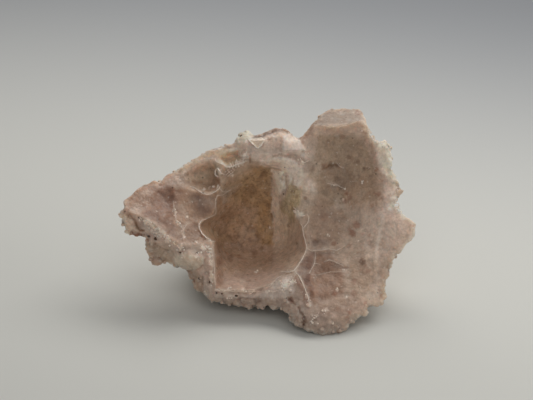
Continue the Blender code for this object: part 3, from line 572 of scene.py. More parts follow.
# Patches of the edges and the broken rims, on the skin too: display colour, strength, soft, outline
EDGE_PATCHES = {
    "top lump": ((212, 208, 192), 0.8, 0.8, [(-12, 65), (-11, 71), (-5, 71.5), (-4.4, 67.6), (-8, 65.4)]),
    "right lumps": ((230, 220, 204), 0.8, 1, [
        (38.2, 67), (38.4, 60), (40.2, 55), (42.4, 50), (49, 49.6), (49, 68)]),
    "top edge": ((172, 152, 142), 0.8, 0.7, [(-22, 61), (-19, 64), (-11, 66.5), (-11, 64), (-18, 61.8)]),
    # painted light along the fold below the tip, which lies in shade
    "tip fold": ((200, 172, 154), 0.7, 0.7, [
        (-51.5, 45), (-49, 46), (-44, 41.4), (-41.5, 38.8), (-42.5, 37.2), (-46.5, 39.4), (-51.5, 42)]),
    "tongue edge": ((206, 180, 166), 0.6, 0.8, [
        (-51.5, 42), (-50, 46), (-43, 51.5), (-43, 50), (-48.6, 45), (-49, 42)]),
    "tip": ((244, 225, 210), 0.5, 2, [(39, 27), (40, 38), (44, 42), (53, 38), (51, 30), (46, 26)]),
    "cap": ((132, 116, 104), 0.7, 0.6, [(14, 71.5), (21, 77.5), (33, 78), (33.2, 73), (27, 71.6), (20, 71)]),
    # painted light: the lobe's underside faces down and is painted lighter
    "tip lobe": ((252, 226, 204), 0.8, 0.6, [
        (-52, 42), (-48.4, 40.2), (-46.2, 38.4), (-45.4, 35.4), (-45, 33.6), (-46.6, 32.6), (-52, 33)]),
    # the sugary band's own pale colour, lightened further as painted light where the band faces down
    "sugary band": ((204, 186, 172), 0.8, 0.8, [
        (-45.6, 40.2), (-41, 39), (-36, 35), (-31.6, 30.2), (-19, 30.2), (-18.9, 27), (-24, 26.6),
        (-31, 27.6), (-36, 32), (-42, 35)]),
    "grey olive": ((188, 165, 144), 0.7, 0.8, [
        (-42.5, 31), (-38, 30.4), (-34.6, 30), (-31.6, 27), (-32.2, 22), (-36, 23.4), (-39, 25), (-42, 27)]),
    "brown knobs": ((172, 146, 130), 0.6, 0.7, [
        (-42.6, 27.4), (-39, 26.4), (-35.6, 24.6), (-34, 21.6), (-42, 21.6)]),
    "cream lobe": ((220, 204, 184), 0.7, 0.6, [
        (-32, 27.2), (-26, 26.5), (-21.6, 25.6), (-21.8, 23.2), (-25.5, 21), (-32, 22.6)]),
    # painted shade under the cream lobe
    "painted shade under the lobe": ((186, 158, 138), 0.7, 0.6, [
        (-28.4, 20.6), (-24.4, 21), (-22.6, 19.6), (-22, 12.4), (-25.5, 12), (-28.4, 16)]),
    "pale column": ((204, 184, 170), 0.6, 0.7, [(-22.2, 24), (-18.2, 27), (-18, 12), (-22.2, 11.6)]),
    "thread edge": ((255, 242, 230), 0.8, 0.8, [
        (40.5, 44.8), (44, 44.6), (48.6, 40.6), (47, 38.4), (42, 41)]),
    "cap foot": ((150, 126, 112), 0.7, 0.6, [
        (10.2, 66.4), (12.2, 69.6), (15.5, 72.8), (16.6, 71.6), (13.6, 67.5), (12, 65.4)]),
    "block edge": ((128, 110, 100), 0.9, 0.7, [
        (-5.4, 66.8), (-4.6, 68.6), (2.8, 71.4), (7, 71), (11.4, 67.6), (11, 66), (6.4, 68.6), (2.8, 68.8),
        (-3, 66.6)]),
    "tooth": ((255, 250, 240), 0.9, 0.3, [
        (11.2, 59.4), (12.2, 58.6), (12.1, 57.2), (11.4, 57.2), (10.9, 58.6)]),
    # painted shade in the front crevice
    "crevice shade": ((120, 92, 74), 0.6, 0.5, [
        (10.4, 8.2), (11.6, 7.4), (12.9, 5), (13, 2.8), (11.4, 2.6), (11, 5)]),
    # painted shade on the undersides of the lower edges
    "painted shade on the lower edges": ((134, 90, 70), 0.9, 0.4, [
        (-48, 33.2), (-44.6, 31), (-42.2, 31), (-42.6, 33.4), (-46.2, 34.8)]),
    # painted shade under the notch's edge
    "painted shade by the notch": ((140, 100, 80), 0.6, 0.4, [
        (-34.5, 22.6), (-29, 21.4), (-27.4, 19.8), (-28.2, 19.4), (-34.5, 21)]),
    "sill": ((226, 210, 198), 0.7, 0.6, [
        (-18, 13.6), (-4.3, 13.2), (2.4, 16.8), (8, 19.8), (9, 14), (6, 12), (-18, 11.8)]),
    "under the sill": ((188, 165, 150), 0.6, 0.6, [(-20, 11.6), (4, 11.4), (7, 9), (8, 3), (4, 6), (-20, 7)]),
}

IN_VIEW = (-0.5, 0.1)  # how much of a normal comes out of the face, where the edge patches start and are full
CALM = 0.9  # share of its crystals that a smooth edge loses
RIM_DRUSE = 0.45  # share of the skin's crystals that a drusy rim has

# Outlines of the broken rims that are sugary with small grains: the tongue's and the front's
DRUSY_RIMS = [
    [(-52, 42), (-44, 39.5), (-38.5, 36.5), (-33, 32), (-28, 30), (-18.8, 30.6), (-18.2, 15),
     (-30, 12), (-52, 25)],
    [(-28, 30), (-18.2, 30.6), (-18, 14.6), (-4.3, 14.4), (2, 17.2), (9, 20.5), (14.1, 9.7),
     (20, 5), (32, 6), (30, -3), (-20, -3)],
]


def to_linear(display):
    """A display colour, 0 to 255, as the linear colour that Blender works in."""
    return [((c / 255 + 0.055) / 1.055) ** 2.4 if c > 10 else c / 255 / 12.92 for c in display]


# ------------------------ Small helpers


def face_on(across, up, deep):
    """A point of the leaning face in metres, where the crust is grown."""
    behind = up * math.sin(LEAN) + deep * math.cos(LEAN)
    height = up * math.cos(LEAN) - deep * math.sin(LEAN)
    return Vector((across, behind, height)) * UNIT


def in_frame(across, up, deep):
    """The same point in the frame, where the grown crust stands on its floor."""
    return face_on(across, up, deep) - FACE_ORIGIN


ACROSS = Vector((1, 0, 0))
UP_FACE = (face_on(0, 1, 0) - face_on(0, 0, 0)).normalized()
INTO_FACE = (face_on(0, 0, 1) - face_on(0, 0, 0)).normalized()
CLEAR_OF_FACE = -25  # a depth in front of every point of the hollow side


def face_on_of(places):
    """The face-on coordinates of an array of places where the crust is grown."""
    x, y, z = (places / UNIT).T
    up = y * math.sin(LEAN) + z * math.cos(LEAN)
    deep = y * math.cos(LEAN) - z * math.sin(LEAN)
    return np.stack((x, up, deep), axis=1)


def new_object(name, data):
    obj = bpy.data.objects.new(name, data)
    bpy.context.scene.collection.objects.link(obj)
    return obj


def add_modifier(obj, kind, **settings):
    modifier = obj.modifiers.new(kind.title(), kind)
    for key, value in settings.items():
        setattr(modifier, key, value)
    return modifier


def evaluated_mesh(obj):
    """What the object's modifiers or its curve make, as a mesh of its own."""
    graph = bpy.context.evaluated_depsgraph_get()
    return bpy.data.meshes.new_from_object(obj.evaluated_get(graph))


def apply_modifiers(obj):
    mesh = evaluated_mesh(obj)
    obj.modifiers.clear()
    obj.data = mesh


def object_of(bm, name, material=None):
    """What was built, as an object of this name."""
    mesh = bpy.data.meshes.new(name)
    bm.to_mesh(mesh)
    bm.free()
    if material:
        mesh.materials.append(material)
    return new_object(name, mesh)


def join_rings(bm, rings):
    """Faces between each ring of vertices and the next."""
    for low, high in zip(rings, rings[1:]):
        for i in range(len(low)):
            bm.faces.new((low[i], low[i - 1], high[i - 1], high[i]))


def stand_on_floor(mesh):
    """Flattens whatever reaches below the floor."""
    for vert in mesh.vertices:
        vert.co.z = max(vert.co.z, 0)


def array_of(items, name):
    flat = np.empty(len(items) * 3, np.float32)
    items.foreach_get(name, flat)
    return flat.reshape(-1, 3).astype(float)


def store(mesh, name, values):
    """Keeps one number or one colour for each vertex, for the materials to read."""
    if values.ndim == 1:
        attribute = mesh.attributes.new(name, "FLOAT", "POINT")
        attribute.data.foreach_set("value", values.astype(np.float32))
    else:
        attribute = mesh.attributes.new(name, "FLOAT_COLOR", "POINT")
        rgba = np.ones((len(values), 4), np.float32)
        rgba[:, :3] = values
        attribute.data.foreach_set("color", rgba.ravel())


def smooth_step(values, low, high):
    t = np.clip((values - low) / (high - low), 0, 1)
    return t * t * (3 - 2 * t)


def off_line(coords, line):
    """How far each coordinate is from a line of points, seen face-on, in millimetres."""
    nearest = np.full(len(coords), np.inf)
    for a, b in zip(np.array(line), np.array(line[1:])):
        along = np.clip(((coords - a) @ (b - a)) / ((b - a) @ (b - a)), 0, 1)
        nearest = np.minimum(nearest, np.linalg.norm(coords - a - along[:, None] * (b - a), axis=1))
    return nearest


def beside(coords, line, edge):
    """1 next to a line and 0 away from it: the edge is where that starts to fade and where it ends."""
    return 1 - smooth_step(off_line(coords[:, :2], line), *edge)


def off_place(coords, across, up):
    """How far each coordinate is from a place, seen face-on, in millimetres."""
    return np.hypot(coords[:, 0] - across, coords[:, 1] - up)


def share_inside(coords, outline, soft):
    """1 well inside the outline and 0 well outside it, seen face-on."""
    inside = np.zeros(len(coords), bool)
    for a, b in zip(outline, outline[1:] + outline[:1]):
        crossed = (a[1] > coords[:, 1]) != (b[1] > coords[:, 1])
        at = (b[0] - a[0]) * (coords[:, 1] - a[1]) / ((b[1] - a[1]) or 1e-9) + a[0]
        inside ^= crossed & (coords[:, 0] < at)
    distance = off_line(coords, outline + outline[:1])
    return smooth_step(np.where(inside, distance, -distance), -soft, soft)


def keep(piece, replaced=()):
    """Finishes a piece: it rides on the crust's body, and the parts of the frame that it replaces are hidden.
    """
    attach(piece, BODY)
    if replaced:
        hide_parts(*replaced)


# ------------------------ The crust's shape


def cage_points():
    """Every point of the hollow side once, and the crests as pairs of their numbers."""
    points, edges = list(OUTLINE), []
    for crest in CRESTS.values():
        points += [p for p in crest if p not in points]
        run = [points.index(p) for p in crest]
        edges += zip(run, run[1:])
    for cast in CASTS.values():
        points += cast
    return points, edges


def cast_surface(levels, rim_share):
    """The hollow side: an open surface through the cage points, creased along its crests."""
    points, crests = cage_points()
    outline = list(reversed(range(len(OUTLINE))))
    flat = [Vector(p[:2]) for p in points]
    within_outline, merge_distance = 1, 1e-4
    _, _, triangles, sources, _, _ = geometry.delaunay_2d_cdt(
        flat, crests, [outline], within_outline, merge_distance
    )
    points = [points[source[0]] for source in sources]
    number = {source[0]: i for i, source in enumerate(sources)}
    bm = bmesh.new()
    sharp_edge = bm.edges.layers.float.new("crease_edge")
    sharp_corner = bm.verts.layers.float.new("crease_vert")
    verts = [bm.verts.new(face_on(*point)) for point in points]
    for triangle in triangles:
        bm.faces.new([verts[i] for i in triangle])
    for a, b in crests:
        edge = bm.edges.get((verts[number[a]], verts[number[b]]))
        if edge:
            edge[sharp_edge] = 1
    for edge in bm.edges:
        if edge.is_boundary:
            edge[sharp_edge] = 1
            for vert in edge.verts:
                vert[sharp_corner] = BROKEN_CORNER
    bmesh.ops.recalc_face_normals(bm, faces=bm.faces)
    surface = object_of(bm, "cast_surface")
    weigh_rim(surface, points, rim_share)
    add_modifier(surface, "SUBSURF", levels=levels, render_levels=levels)
    apply_modifiers(surface)
    return surface


def weigh_rim(surface, points, rim_share):
    """Says how thick the crust grows at each point of the cage, and which points are broken rim."""
    thickness = surface.vertex_groups.new(name="thickness")
    broken = surface.vertex_groups.new(name="broken")
    on_rim = OUTLINE + [p for name in BROKEN_RIMS for p in CASTS[name]]
    for i, point in enumerate(points):
        depth = (point[2] - FOREMOST) / (DEEPEST - FOREMOST)
        thickness.add([i], rim_share + (1 - rim_share) * depth, "REPLACE")
        broken.add([i], point in on_rim, "REPLACE")


def block_behind(surface, depth):
    """Everything behind the hollow side, within the broken outline, as a closed solid."""
    bm = bmesh.new()
    bm.from_mesh(surface.data)
    made = bmesh.ops.extrude_face_region(bm, geom=bm.faces[:])
    moved = [v for v in made["geom"] if isinstance(v, bmesh.types.BMVert)]
    bmesh.ops.translate(bm, verts=moved, vec=INTO_FACE * depth)
    bmesh.ops.recalc_face_normals(bm, faces=bm.faces)
    return object_of(bm, "block")


def add_lumps(obj, name, size, height, **where):
    """Rounded lumps of this size, with a groove between each two."""
    cells = bpy.data.textures.new(name, "VORONOI")
    cells.noise_scale = size
    cells.distance_metric = "DISTANCE_SQUARED"
    add_modifier(obj, "DISPLACE", texture=cells, strength=-height, mid_level=LUMP_LEVEL, **where)


def add_swell(obj, name, size, height, depth, **where):
    """Soft swellings of this size, with depth octaves of smaller ones on them."""
    swell = bpy.data.textures.new(name, "CLOUDS")
    swell.noise_scale = size
    swell.noise_depth = depth
    add_modifier(obj, "DISPLACE", texture=swell, strength=height, mid_level=0.5, **where)


def crust_growth(surface, made):
    """Quartz grown on both sides of the cast surface, with a skin of rounded lumps."""
    growth = new_object("growth", surface.data.copy())
    add_modifier(growth, "SOLIDIFY", thickness=2 * made.thickness, offset=0, vertex_group="thickness")
    for outward in (made.fold_fill, -made.fold_fill):
        add_modifier(growth, "REMESH", mode="VOXEL", voxel_size=made.growth_voxel)
        add_modifier(growth, "DISPLACE", strength=outward, mid_level=0)
    add_swell(growth, "swell", made.swell_size, made.swell_height, 2)
    add_lumps(growth, "druse", made.druse_size, made.druse_height)
    apply_modifiers(growth)
    return growth


def tree_of(mesh):
    """What finds the nearest point of a mesh."""
    places = [v.co for v in mesh.vertices]
    return bvhtree.BVHTree.FromPolygons(places, [f.vertices for f in mesh.polygons])


def cast_masks(mesh, surface):
    """For each vertex, the nearest place on the casts, how far it is, and how much is broken rim."""
    tree = tree_of(surface.data)
    faces = surface.data.polygons
    broken = [sum(g.weight for g in v.groups if g.group == BROKEN) for v in surface.data.vertices]
    places, distances, on_rim = [], [], []
    for vert in mesh.vertices:
        place, _, face, distance = tree.find_nearest(vert.co)
        places.append(place)
        distances.append(distance)
        on_rim.append(sum(broken[i] for i in faces[face].vertices) / len(faces[face].vertices))
    return np.array(places), np.array(distances), np.array(on_rim)


def weigh(obj, name, weights):
    group = obj.vertex_groups.new(name=name)
    for i, weight in enumerate(weights):
        group.add([i], weight, "REPLACE")


def near_smooth_edge(coords):
    """1 along the smooth, thin parts of the broken outline, seen face-on."""
    return np.max([share_inside(coords[:, :2], outline, 0.8) for outline in SMOOTH_EDGES], axis=0)


def smoothed(coords):
    """The share of its lumps that the crust keeps, which is less along its smooth parts."""
    return 1 - (1 - SMOOTH_SHARE) * near_smooth_edge(coords)


def lumpy_edge(coords):
    """1 along the lumpy parts of the broken outline, seen face-on, and less elsewhere."""
    fringe = beside(coords, [p[:2] for p in OUTLINE + OUTLINE[:1]], LUMPY_EDGE)
    return np.maximum(fringe * smoothed(coords), RIM_BODY)


def fine_relief(crust, coords, distance, on_rim, made):
    """Small lumps on the skin and the rim, and the faint waves of the casts."""
    off_cast = np.clip(distance / made.skin_start - 0.5, 0, 1)
    rough = np.maximum(off_cast * smoothed(coords), on_rim * lumpy_edge(coords))
    weigh(crust, "rough", rough)
    weigh(crust, "smooth", 1 - rough)
    add_lumps(crust, "ragged", made.ragged_size, made.ragged_height, vertex_group="rough")
    add_lumps(crust, "grain", made.grain_size, made.grain_height, vertex_group="rough")
    add_swell(crust, "waves", made.wave_size, made.wave_height, 1, vertex_group="smooth")
    apply_modifiers(crust)


def mounds_and_cracks(mesh, coords, hollow):
    """Raises the mounds and plates of the hollow side out of the face, and sinks its pits and cracks."""
    flat = coords[:, :2]
    raised = np.zeros(len(flat))
    for across, up, radius, height in MOUNDS:
        reach = off_place(flat, across, up) / radius
        raised += height * np.clip(1 - reach**2, 0, 1) ** MOUND_POWER
    for height, soft, outline in PLATES.values():
        raised += height * share_inside(flat, outline, soft)
    for depth, _, line in CRACKS.values():
        raised -= depth * beside(flat, line, CRACK_EDGE)
    out = np.outer(raised * hollow * UNIT, -np.array(INTO_FACE))
    mesh.vertices.foreach_set("co", (array_of(mesh.vertices, "co") + out).astype(np.float32).ravel())


# ------------------------ The crust's colours


def blend_tints(coords):
    """Each vertex takes the tints of the nearest casts, blended by distance."""
    points = np.array([p for name in TINTS for p in CASTS[name]], float)
    colours = np.array([to_linear(TINTS[name]) for name in TINTS for _ in CASTS[name]])
    total, weights = 0, 0
    for point, colour in zip(points, colours):
        near = 1 / (((coords - point) ** 2).sum(axis=1) + 6) ** 2
        total = total + near[:, None] * colour
        weights = weights + near
    return total / weights[:, None]


def wandered(coords, size, reach):
    """The coordinates, each moved a little, so that the edges of the patches wander."""
    noise.seed_set(WANDER_SEED)
    moves = [noise.noise_vector(Vector(c) / size)[:2] for c in coords]
    return coords[:, :2] + reach * np.array(moves)


def moved_to(tints, share, colour):
    """The tints, each moved towards a linear colour by its share."""
    return tints + share[:, None] * (np.array(colour) - tints)


def crust_tints(coords, flat, hollow, in_view, colours):
    """The crust's tint and how grainy it is, from the casts, the patches, the cracks and the stains."""
    tints = blend_tints(coords)
    grainy = np.full(len(coords), GRAINY)
    for colour, strength, soft, grain, outline in PATCHES.values():
        share = strength * hollow * share_inside(flat, outline, soft)
        tints = moved_to(tints, share, to_linear(colour))
        grainy += share * (grain - grainy)
    for _, stain, line in CRACKS.values():
        share = stain * hollow * beside(coords, line, CRACK_STAIN_EDGE)
        tints = moved_to(tints, share, to_linear(CRACK_STAIN))
    for height, line in SEPTA.values():
        share = MILKY_FOOT * min(height, 1) * hollow * beside(coords, line, MILKY_FOOT_EDGE)
        tints = moved_to(tints, share, colours.milky)
    tints = moved_to(tints, 1 - hollow, colours.skin)
    for colour, strength, soft, outline in EDGE_PATCHES.values():
        share = strength * in_view * share_inside(flat, outline, soft)
        tints = moved_to(tints, share, to_linear(colour))
    return tints, grainy


def stained(tints, flat, hollow):
    """The tints with the soft dark and rusty spots."""
    for spots, stain in ((DARK_SPOTS, DARK_STAIN), (RUSTY_SPOTS, RUSTY_STAIN)):
        for across, up, radius, strength in spots:
            reach = off_place(flat, across, up) / radius
            share = strength * hollow * (1 - smooth_step(reach, *SPOT_EDGE))
            tints = tints * (1 - STAIN_SHARE * share[:, None] * (1 - np.array(to_linear(stain))))
    return tints


def sugar_on(coords, flat):
    """How sugary the crust is: the bands, and the places where single grains sparkle, whose white is partly
    painted glint.
    """
    sugary = np.zeros(len(coords))
    for strength, width, line in SUGARY:
        sugary = np.maximum(sugary, strength * beside(flat, line, (SUGARY_CORE * width, width)))
    for across, up in SPARKLES:
        spot = 1 - smooth_step(off_place(coords, across, up), *SPARKLE_EDGE)
        sugary = np.maximum(sugary, SPARKLE * spot)
    return sugary


def colour_crust(mesh, coords, hollow, on_rim, colours):
    """Stores what the materials and the growths read: the tint, and where the crust is grainy or sugary."""
    in_view = smooth_step(array_of(mesh.vertex_normals, "vector") @ -np.array(INTO_FACE), *IN_VIEW)
    tints, grainy = crust_tints(coords, wandered(coords, *PATCH_WANDER), hollow, in_view, colours)
    flat = wandered(coords, *SPOT_WANDER)
    store(mesh, "tint", stained(tints, flat, hollow))
    store(mesh, "grainy", grainy * hollow)
    store(mesh, "broken_rim", on_rim * hollow)
    store(mesh, "sugary", sugar_on(coords, flat) * hollow)
    drusy_rim = np.maximum(*(share_inside(coords[:, :2], rim, 1.0) for rim in DRUSY_RIMS))
    on_skin = (1 - hollow) * (1 - CALM * in_view * near_smooth_edge(coords))
    store(mesh, "drusy", np.maximum(on_skin, RIM_DRUSE * on_rim * drusy_rim * lumpy_edge(coords)))


# ------------------------ Node helpers


def new_tree(name, kind, inputs, outputs):
    """A node group with these named inputs, each a type and a default, and these outputs."""
    tree = bpy.data.node_groups.new(name, kind)
    for socket_name, (socket_type, default) in inputs.items():
        socket = tree.interface.new_socket(socket_name, in_out="INPUT", socket_type=socket_type)
        if default is not None:
            socket.default_value = default
    for socket_name, socket_type in outputs.items():
        tree.interface.new_socket(socket_name, in_out="OUTPUT", socket_type=socket_type)
    return tree


def put(socket, tree, value):
    """Links a socket to another one, or sets its value."""
    if isinstance(value, bpy.types.NodeSocket):
        tree.links.new(value, socket)
    else:
        socket.default_value = value


def add(tree, kind, inputs=None, **settings):
    """A node with these settings and inputs."""
    node = tree.nodes.new(kind)
    for key, value in settings.items():
        setattr(node, key, value)
    for key, value in (inputs or {}).items():
        put(node.inputs[key], tree, value)
    return node


def maths(tree, operation, *values, clamp=False):
    inputs = dict(enumerate(values))
    return add(tree, "ShaderNodeMath", inputs, operation=operation, use_clamp=clamp).outputs[0]


def times(tree, a, b):
    return maths(tree, "MULTIPLY", a, b)


def vector_maths(tree, operation, *values):
    inputs = dict(enumerate(values))
    return add(tree, "ShaderNodeVectorMath", inputs, operation=operation).outputs[0]


def scaled(tree, vector, factor):
    node = add(tree, "ShaderNodeVectorMath", {0: vector}, operation="SCALE")
    put(node.inputs["Scale"], tree, factor)
    return node.outputs[0]


def ramp(tree, value, low, high):
    """0 below low, 1 above high, and smooth between them."""
    inputs = {"Value": value, "From Min": low, "From Max": high}
    return add(tree, "ShaderNodeMapRange", inputs, interpolation_type="SMOOTHSTEP").outputs["Result"]


def mix(tree, share, a, b, blend="MIX"):
    """Colour a, with this share of colour b."""
    node = add(tree, "ShaderNodeMix", data_type="RGBA", blend_type=blend)
    for identifier, value in (("Factor_Float", share), ("A_Color", a), ("B_Color", b)):
        put(next(s for s in node.inputs if s.identifier == identifier), tree, value)
    return next(s for s in node.outputs if s.identifier == "Result_Color")


def shaded(tree, colour, value, darkest, reach):
    """The colour times a grey, which is darkest where the value is 0 and lighter by reach where it is 1."""
    level = maths(tree, "MULTIPLY_ADD", value, reach, darkest)
    grey = add(tree, "ShaderNodeCombineColor", {0: level, 1: level, 2: level}).outputs[0]
    return mix(tree, 1.0, colour, grey, "MULTIPLY")


def opaque(colour):
    return (*colour, 1)


def attribute(tree, name, output="Fac"):
    return add(tree, "ShaderNodeAttribute", attribute_name=name).outputs[output]


def object_place(tree):
    return add(tree, "ShaderNodeTexCoord").outputs["Object"]


def shared(build):
    """The node group that this function builds, which is made the first time that it is needed."""
    return bpy.data.node_groups.get(build.__name__) or build()


def use_group(tree, build, inputs):
    """The outputs of a shared group."""
    return add(tree, "ShaderNodeGroup", inputs, node_tree=shared(build)).outputs


def float_input(default):
    return ("NodeSocketFloat", default)


# ------------------------ Shared surface effects


def new_effect(build, inputs, outputs):
    """A shader group named for the function that builds it, and its two ends."""
    place = {"Vector": ("NodeSocketVector", None)}
    tree = new_tree(build.__name__, "ShaderNodeTree", {**place, **inputs}, outputs)
    return tree, add(tree, "NodeGroupInput").outputs, add(tree, "NodeGroupOutput").inputs


def milky_clouds():
    """Soft clouds in patches of this size, from 0 to 1 round 0.5."""
    inputs = {"Size": float_input(0.004), "Detail": float_input(3.0), "Contrast": float_input(1.0)}
    tree, given, out = new_effect(milky_clouds, inputs, {"Clouds": "NodeSocketFloat"})
    scale = maths(tree, "DIVIDE", 1.0, given["Size"])
    sockets = {"Vector": given["Vector"], "Scale": scale, "Detail": given["Detail"], "Roughness": 0.6}
    cloud = add(tree, "ShaderNodeTexNoise", sockets).outputs["Fac"]
    centred = maths(tree, "SUBTRACT", cloud, 0.5)
    put(out["Clouds"], tree, maths(tree, "MULTIPLY_ADD", centred, given["Contrast"], 0.5, clamp=True))
    return tree


def clouds(tree, place, size, detail, contrast):
    inputs = {"Vector": place, "Size": size, "Detail": detail, "Contrast": contrast}
    return use_group(tree, milky_clouds, inputs)["Clouds"]


def mineral_specks():
    """Small soft specks, one in some of the cells, each of its own size."""
    inputs = {"Spacing": float_input(0.002), "Radius": float_input(0.25), "Share": float_input(0.3)}
    tree, given, out = new_effect(mineral_specks, inputs, {"Specks": "NodeSocketFloat"})
    scale = maths(tree, "DIVIDE", 1.0, given["Spacing"])
    cells = add(tree, "ShaderNodeTexVoronoi", {"Vector": given["Vector"], "Scale": scale}).outputs
    parts = add(tree, "ShaderNodeSeparateColor", {"Color": cells["Color"]}).outputs
    present = maths(tree, "LESS_THAN", parts["Red"], given["Share"])
    own_size = maths(tree, "MULTIPLY_ADD", parts["Green"], 0.7, 0.3)
    reach = maths(tree, "DIVIDE", cells["Distance"], times(tree, own_size, given["Radius"]))
    inside = maths(tree, "SUBTRACT", 1.0, ramp(tree, reach, 0.4, 1.0))
    put(out["Specks"], tree, times(tree, inside, present))
    return tree


def specks(tree, place, spacing, radius, share):
    inputs = {"Vector": place, "Spacing": spacing, "Radius": radius, "Share": share}
    return use_group(tree, mineral_specks, inputs)["Specks"]


def sugary_grain():
    """Tiny crystal faces that each lean their own way, their shades, and the few that glint."""
    inputs = {"Grain": float_input(0.0006), "Lean": float_input(0.3), "Glints": float_input(0.05)}
    outputs = {"Normal": "NodeSocketVector", "Glint": "NodeSocketFloat", "Shade": "NodeSocketFloat"}
    tree, given, out = new_effect(sugary_grain, inputs, outputs)
    scale = maths(tree, "DIVIDE", 1.0, given["Grain"])
    cells = add(tree, "ShaderNodeTexVoronoi", {"Vector": given["Vector"], "Scale": scale}).outputs
    turned = vector_maths(tree, "SUBTRACT", cells["Color"], (0.5, 0.5, 0.5))
    normal = add(tree, "ShaderNodeNewGeometry").outputs["Normal"]
    leaning = vector_maths(tree, "ADD", normal, scaled(tree, turned, given["Lean"]))
    parts = add(tree, "ShaderNodeSeparateColor", {"Color": cells["Color"]}).outputs
    put(out["Normal"], tree, vector_maths(tree, "NORMALIZE", leaning))
    put(out["Glint"], tree, maths(tree, "LESS_THAN", parts["Blue"], given["Glints"]))
    put(out["Shade"], tree, parts["Green"])
    return tree


def grains(tree, place, size, lean, glints):
    inputs = {"Vector": place, "Grain": size, "Lean": lean, "Glints": glints}
    return use_group(tree, sugary_grain, inputs)


# ------------------------ Materials

QUARTZ_IOR = 1.54
PINK_SCATTER = (1.0, 0.75, 0.6)


def new_material(name, **inputs):
    """A material with these inputs of its Principled BSDF; returns it, its tree and that shader."""
    material = bpy.data.materials.new(name)
    material.use_nodes = True
    tree = material.node_tree
    shader = tree.nodes["Principled BSDF"]
    finish_shader(tree, shader, **inputs)
    return material, tree, shader


def finish_shader(tree, shader, **inputs):
    for key, value in inputs.items():
        put(shader.inputs[key.replace("_", " ")], tree, value)


def new_quartz(name, scattered, depth, specular=0.5):
    """A quartz of which this share scatters the light inside, this far in."""
    return new_material(
        name, IOR=QUARTZ_IOR, Subsurface_Weight=scattered, Subsurface_Radius=PINK_SCATTER,
        Subsurface_Scale=depth, Specular_IOR_Level=specular,
    )


def milky_quartz(colours):
    """The crust: the tint of its mesh, clouds, brown grains, sugary sparkle, pale rims, ore and rust, with
    painted glints.
    """
    material, tree, shader = new_quartz("milky_quartz", 0.8, 0.006, 0.4)
    place = object_place(tree)
    grainy = attribute(tree, "grainy")
    colour = attribute(tree, "tint", "Color")

    broad = clouds(tree, place, 0.007, 4.0, 2.2)
    colour = mix(tree, times(tree, ramp(tree, broad, 0.5, 0.95), 0.2), colour, opaque(colours.milky))
    colour = mix(tree, times(tree, ramp(tree, broad, 0.5, 0.1), 0.2), colour, opaque(colours.smoky))
    fine = clouds(tree, place, 0.0018, 2.0, 2.2)
    colour = shaded(tree, colour, fine, 0.85, 0.3)
    colour = shaded(tree, colour, clouds(tree, place, 0.0007, 3.0, 2.4), 0.89, 0.22)

    brown = ramp(tree, clouds(tree, place, 0.0012, 5.0, 2.2), 0.4, 1.0)
    colour = mix(tree, times(tree, times(tree, brown, grainy), 0.75), colour, opaque(colours.dust))
    lumps = grains(tree, place, 0.0011, 0.3, 0.0)["Shade"]
    white = times(tree, ramp(tree, lumps, 0.25, 0.6), attribute(tree, "sugary"))
    colour = mix(tree, times(tree, white, 0.9), colour, opaque(colours.septa))
    knobs = times(tree, specks(tree, place, 0.0017, 0.75, 0.85), attribute(tree, "broken_rim"))
    colour = mix(tree, times(tree, knobs, 0.3), colour, opaque(colours.milky))
    clear = maths(tree, "SUBTRACT", 0.75, times(tree, grainy, 0.6))
    dark = times(tree, specks(tree, place, 0.0026, 0.2, 0.25), clear)
    colour = mix(tree, dark, colour, opaque(colours.speck))
    rusty = specks(tree, place, 0.0055, 0.3, 0.3)
    colour = mix(tree, times(tree, rusty, 0.5), colour, opaque(colours.rust))

    grain = grains(tree, place, 0.0005, 0.18, 0.008)
    # painted glints: a few of the tiny grains are painted milky white as highlights
    colour = mix(tree, times(tree, grain["Glint"], 0.4), colour, opaque(colours.milky))
    relief = {"Height": fine, "Distance": 0.0004, "Strength": 0.5, "Normal": grain["Normal"]}
    bump = add(tree, "ShaderNodeBump", relief).outputs[0]
    rough = maths(tree, "MULTIPLY_ADD", fine, 0.3, 0.3)
    finish_shader(tree, shader, Base_Color=colour, Roughness=rough, Normal=bump)
    return material


def white_quartz(colours):
    """Clean white quartz of the thin walls, the combs and the sugary grains."""
    material, tree, shader = new_quartz("white_quartz", 0.3, 0.0015, 0.3)
    place = object_place(tree)
    colour = shaded(tree, opaque(colours.septa), clouds(tree, place, 0.0015, 3.0, 2.0), 0.82, 0.3)
    grain = grains(tree, place, 0.0003, 0.35, 0.1)
    rough = maths(tree, "MULTIPLY_ADD", grain["Shade"], 0.3, 0.4)
    finish_shader(tree, shader, Base_Color=colour, Roughness=rough, Normal=grain["Normal"])
    return material


def drusy_quartz(colours):
    """The small crystals of the outer skin, which take the crust's own tint."""
    material, tree, shader = new_quartz("drusy_quartz", 0.6, 0.0015)
    place = object_place(tree)
    pale = times(tree, clouds(tree, place, 0.006, 3.0, 2.2), 0.3)
    colour = mix(tree, pale, attribute(tree, "tint", "Color"), opaque(colours.milky))
    grain = grains(tree, place, 0.0004, 0.2, 0.06)
    rough = maths(tree, "MULTIPLY_ADD", grain["Shade"], 0.3, 0.12)
    finish_shader(tree, shader, Base_Color=colour, Roughness=rough, Normal=grain["Normal"])
    return material


def dark_ore(colours):
    material, tree, shader = new_material("dark_ore", Roughness=0.45)
    fine = clouds(tree, object_place(tree), 0.0004, 3.0, 2.5)
    colour = mix(tree, fine, opaque(colours.speck), opaque(colours.dust))
    bump = add(tree, "ShaderNodeBump", {"Height": fine, "Distance": 0.0001}).outputs[0]
    finish_shader(tree, shader, Base_Color=colour, Normal=bump)
    return material


# ------------------------ Geometry Nodes: what stands on the crust


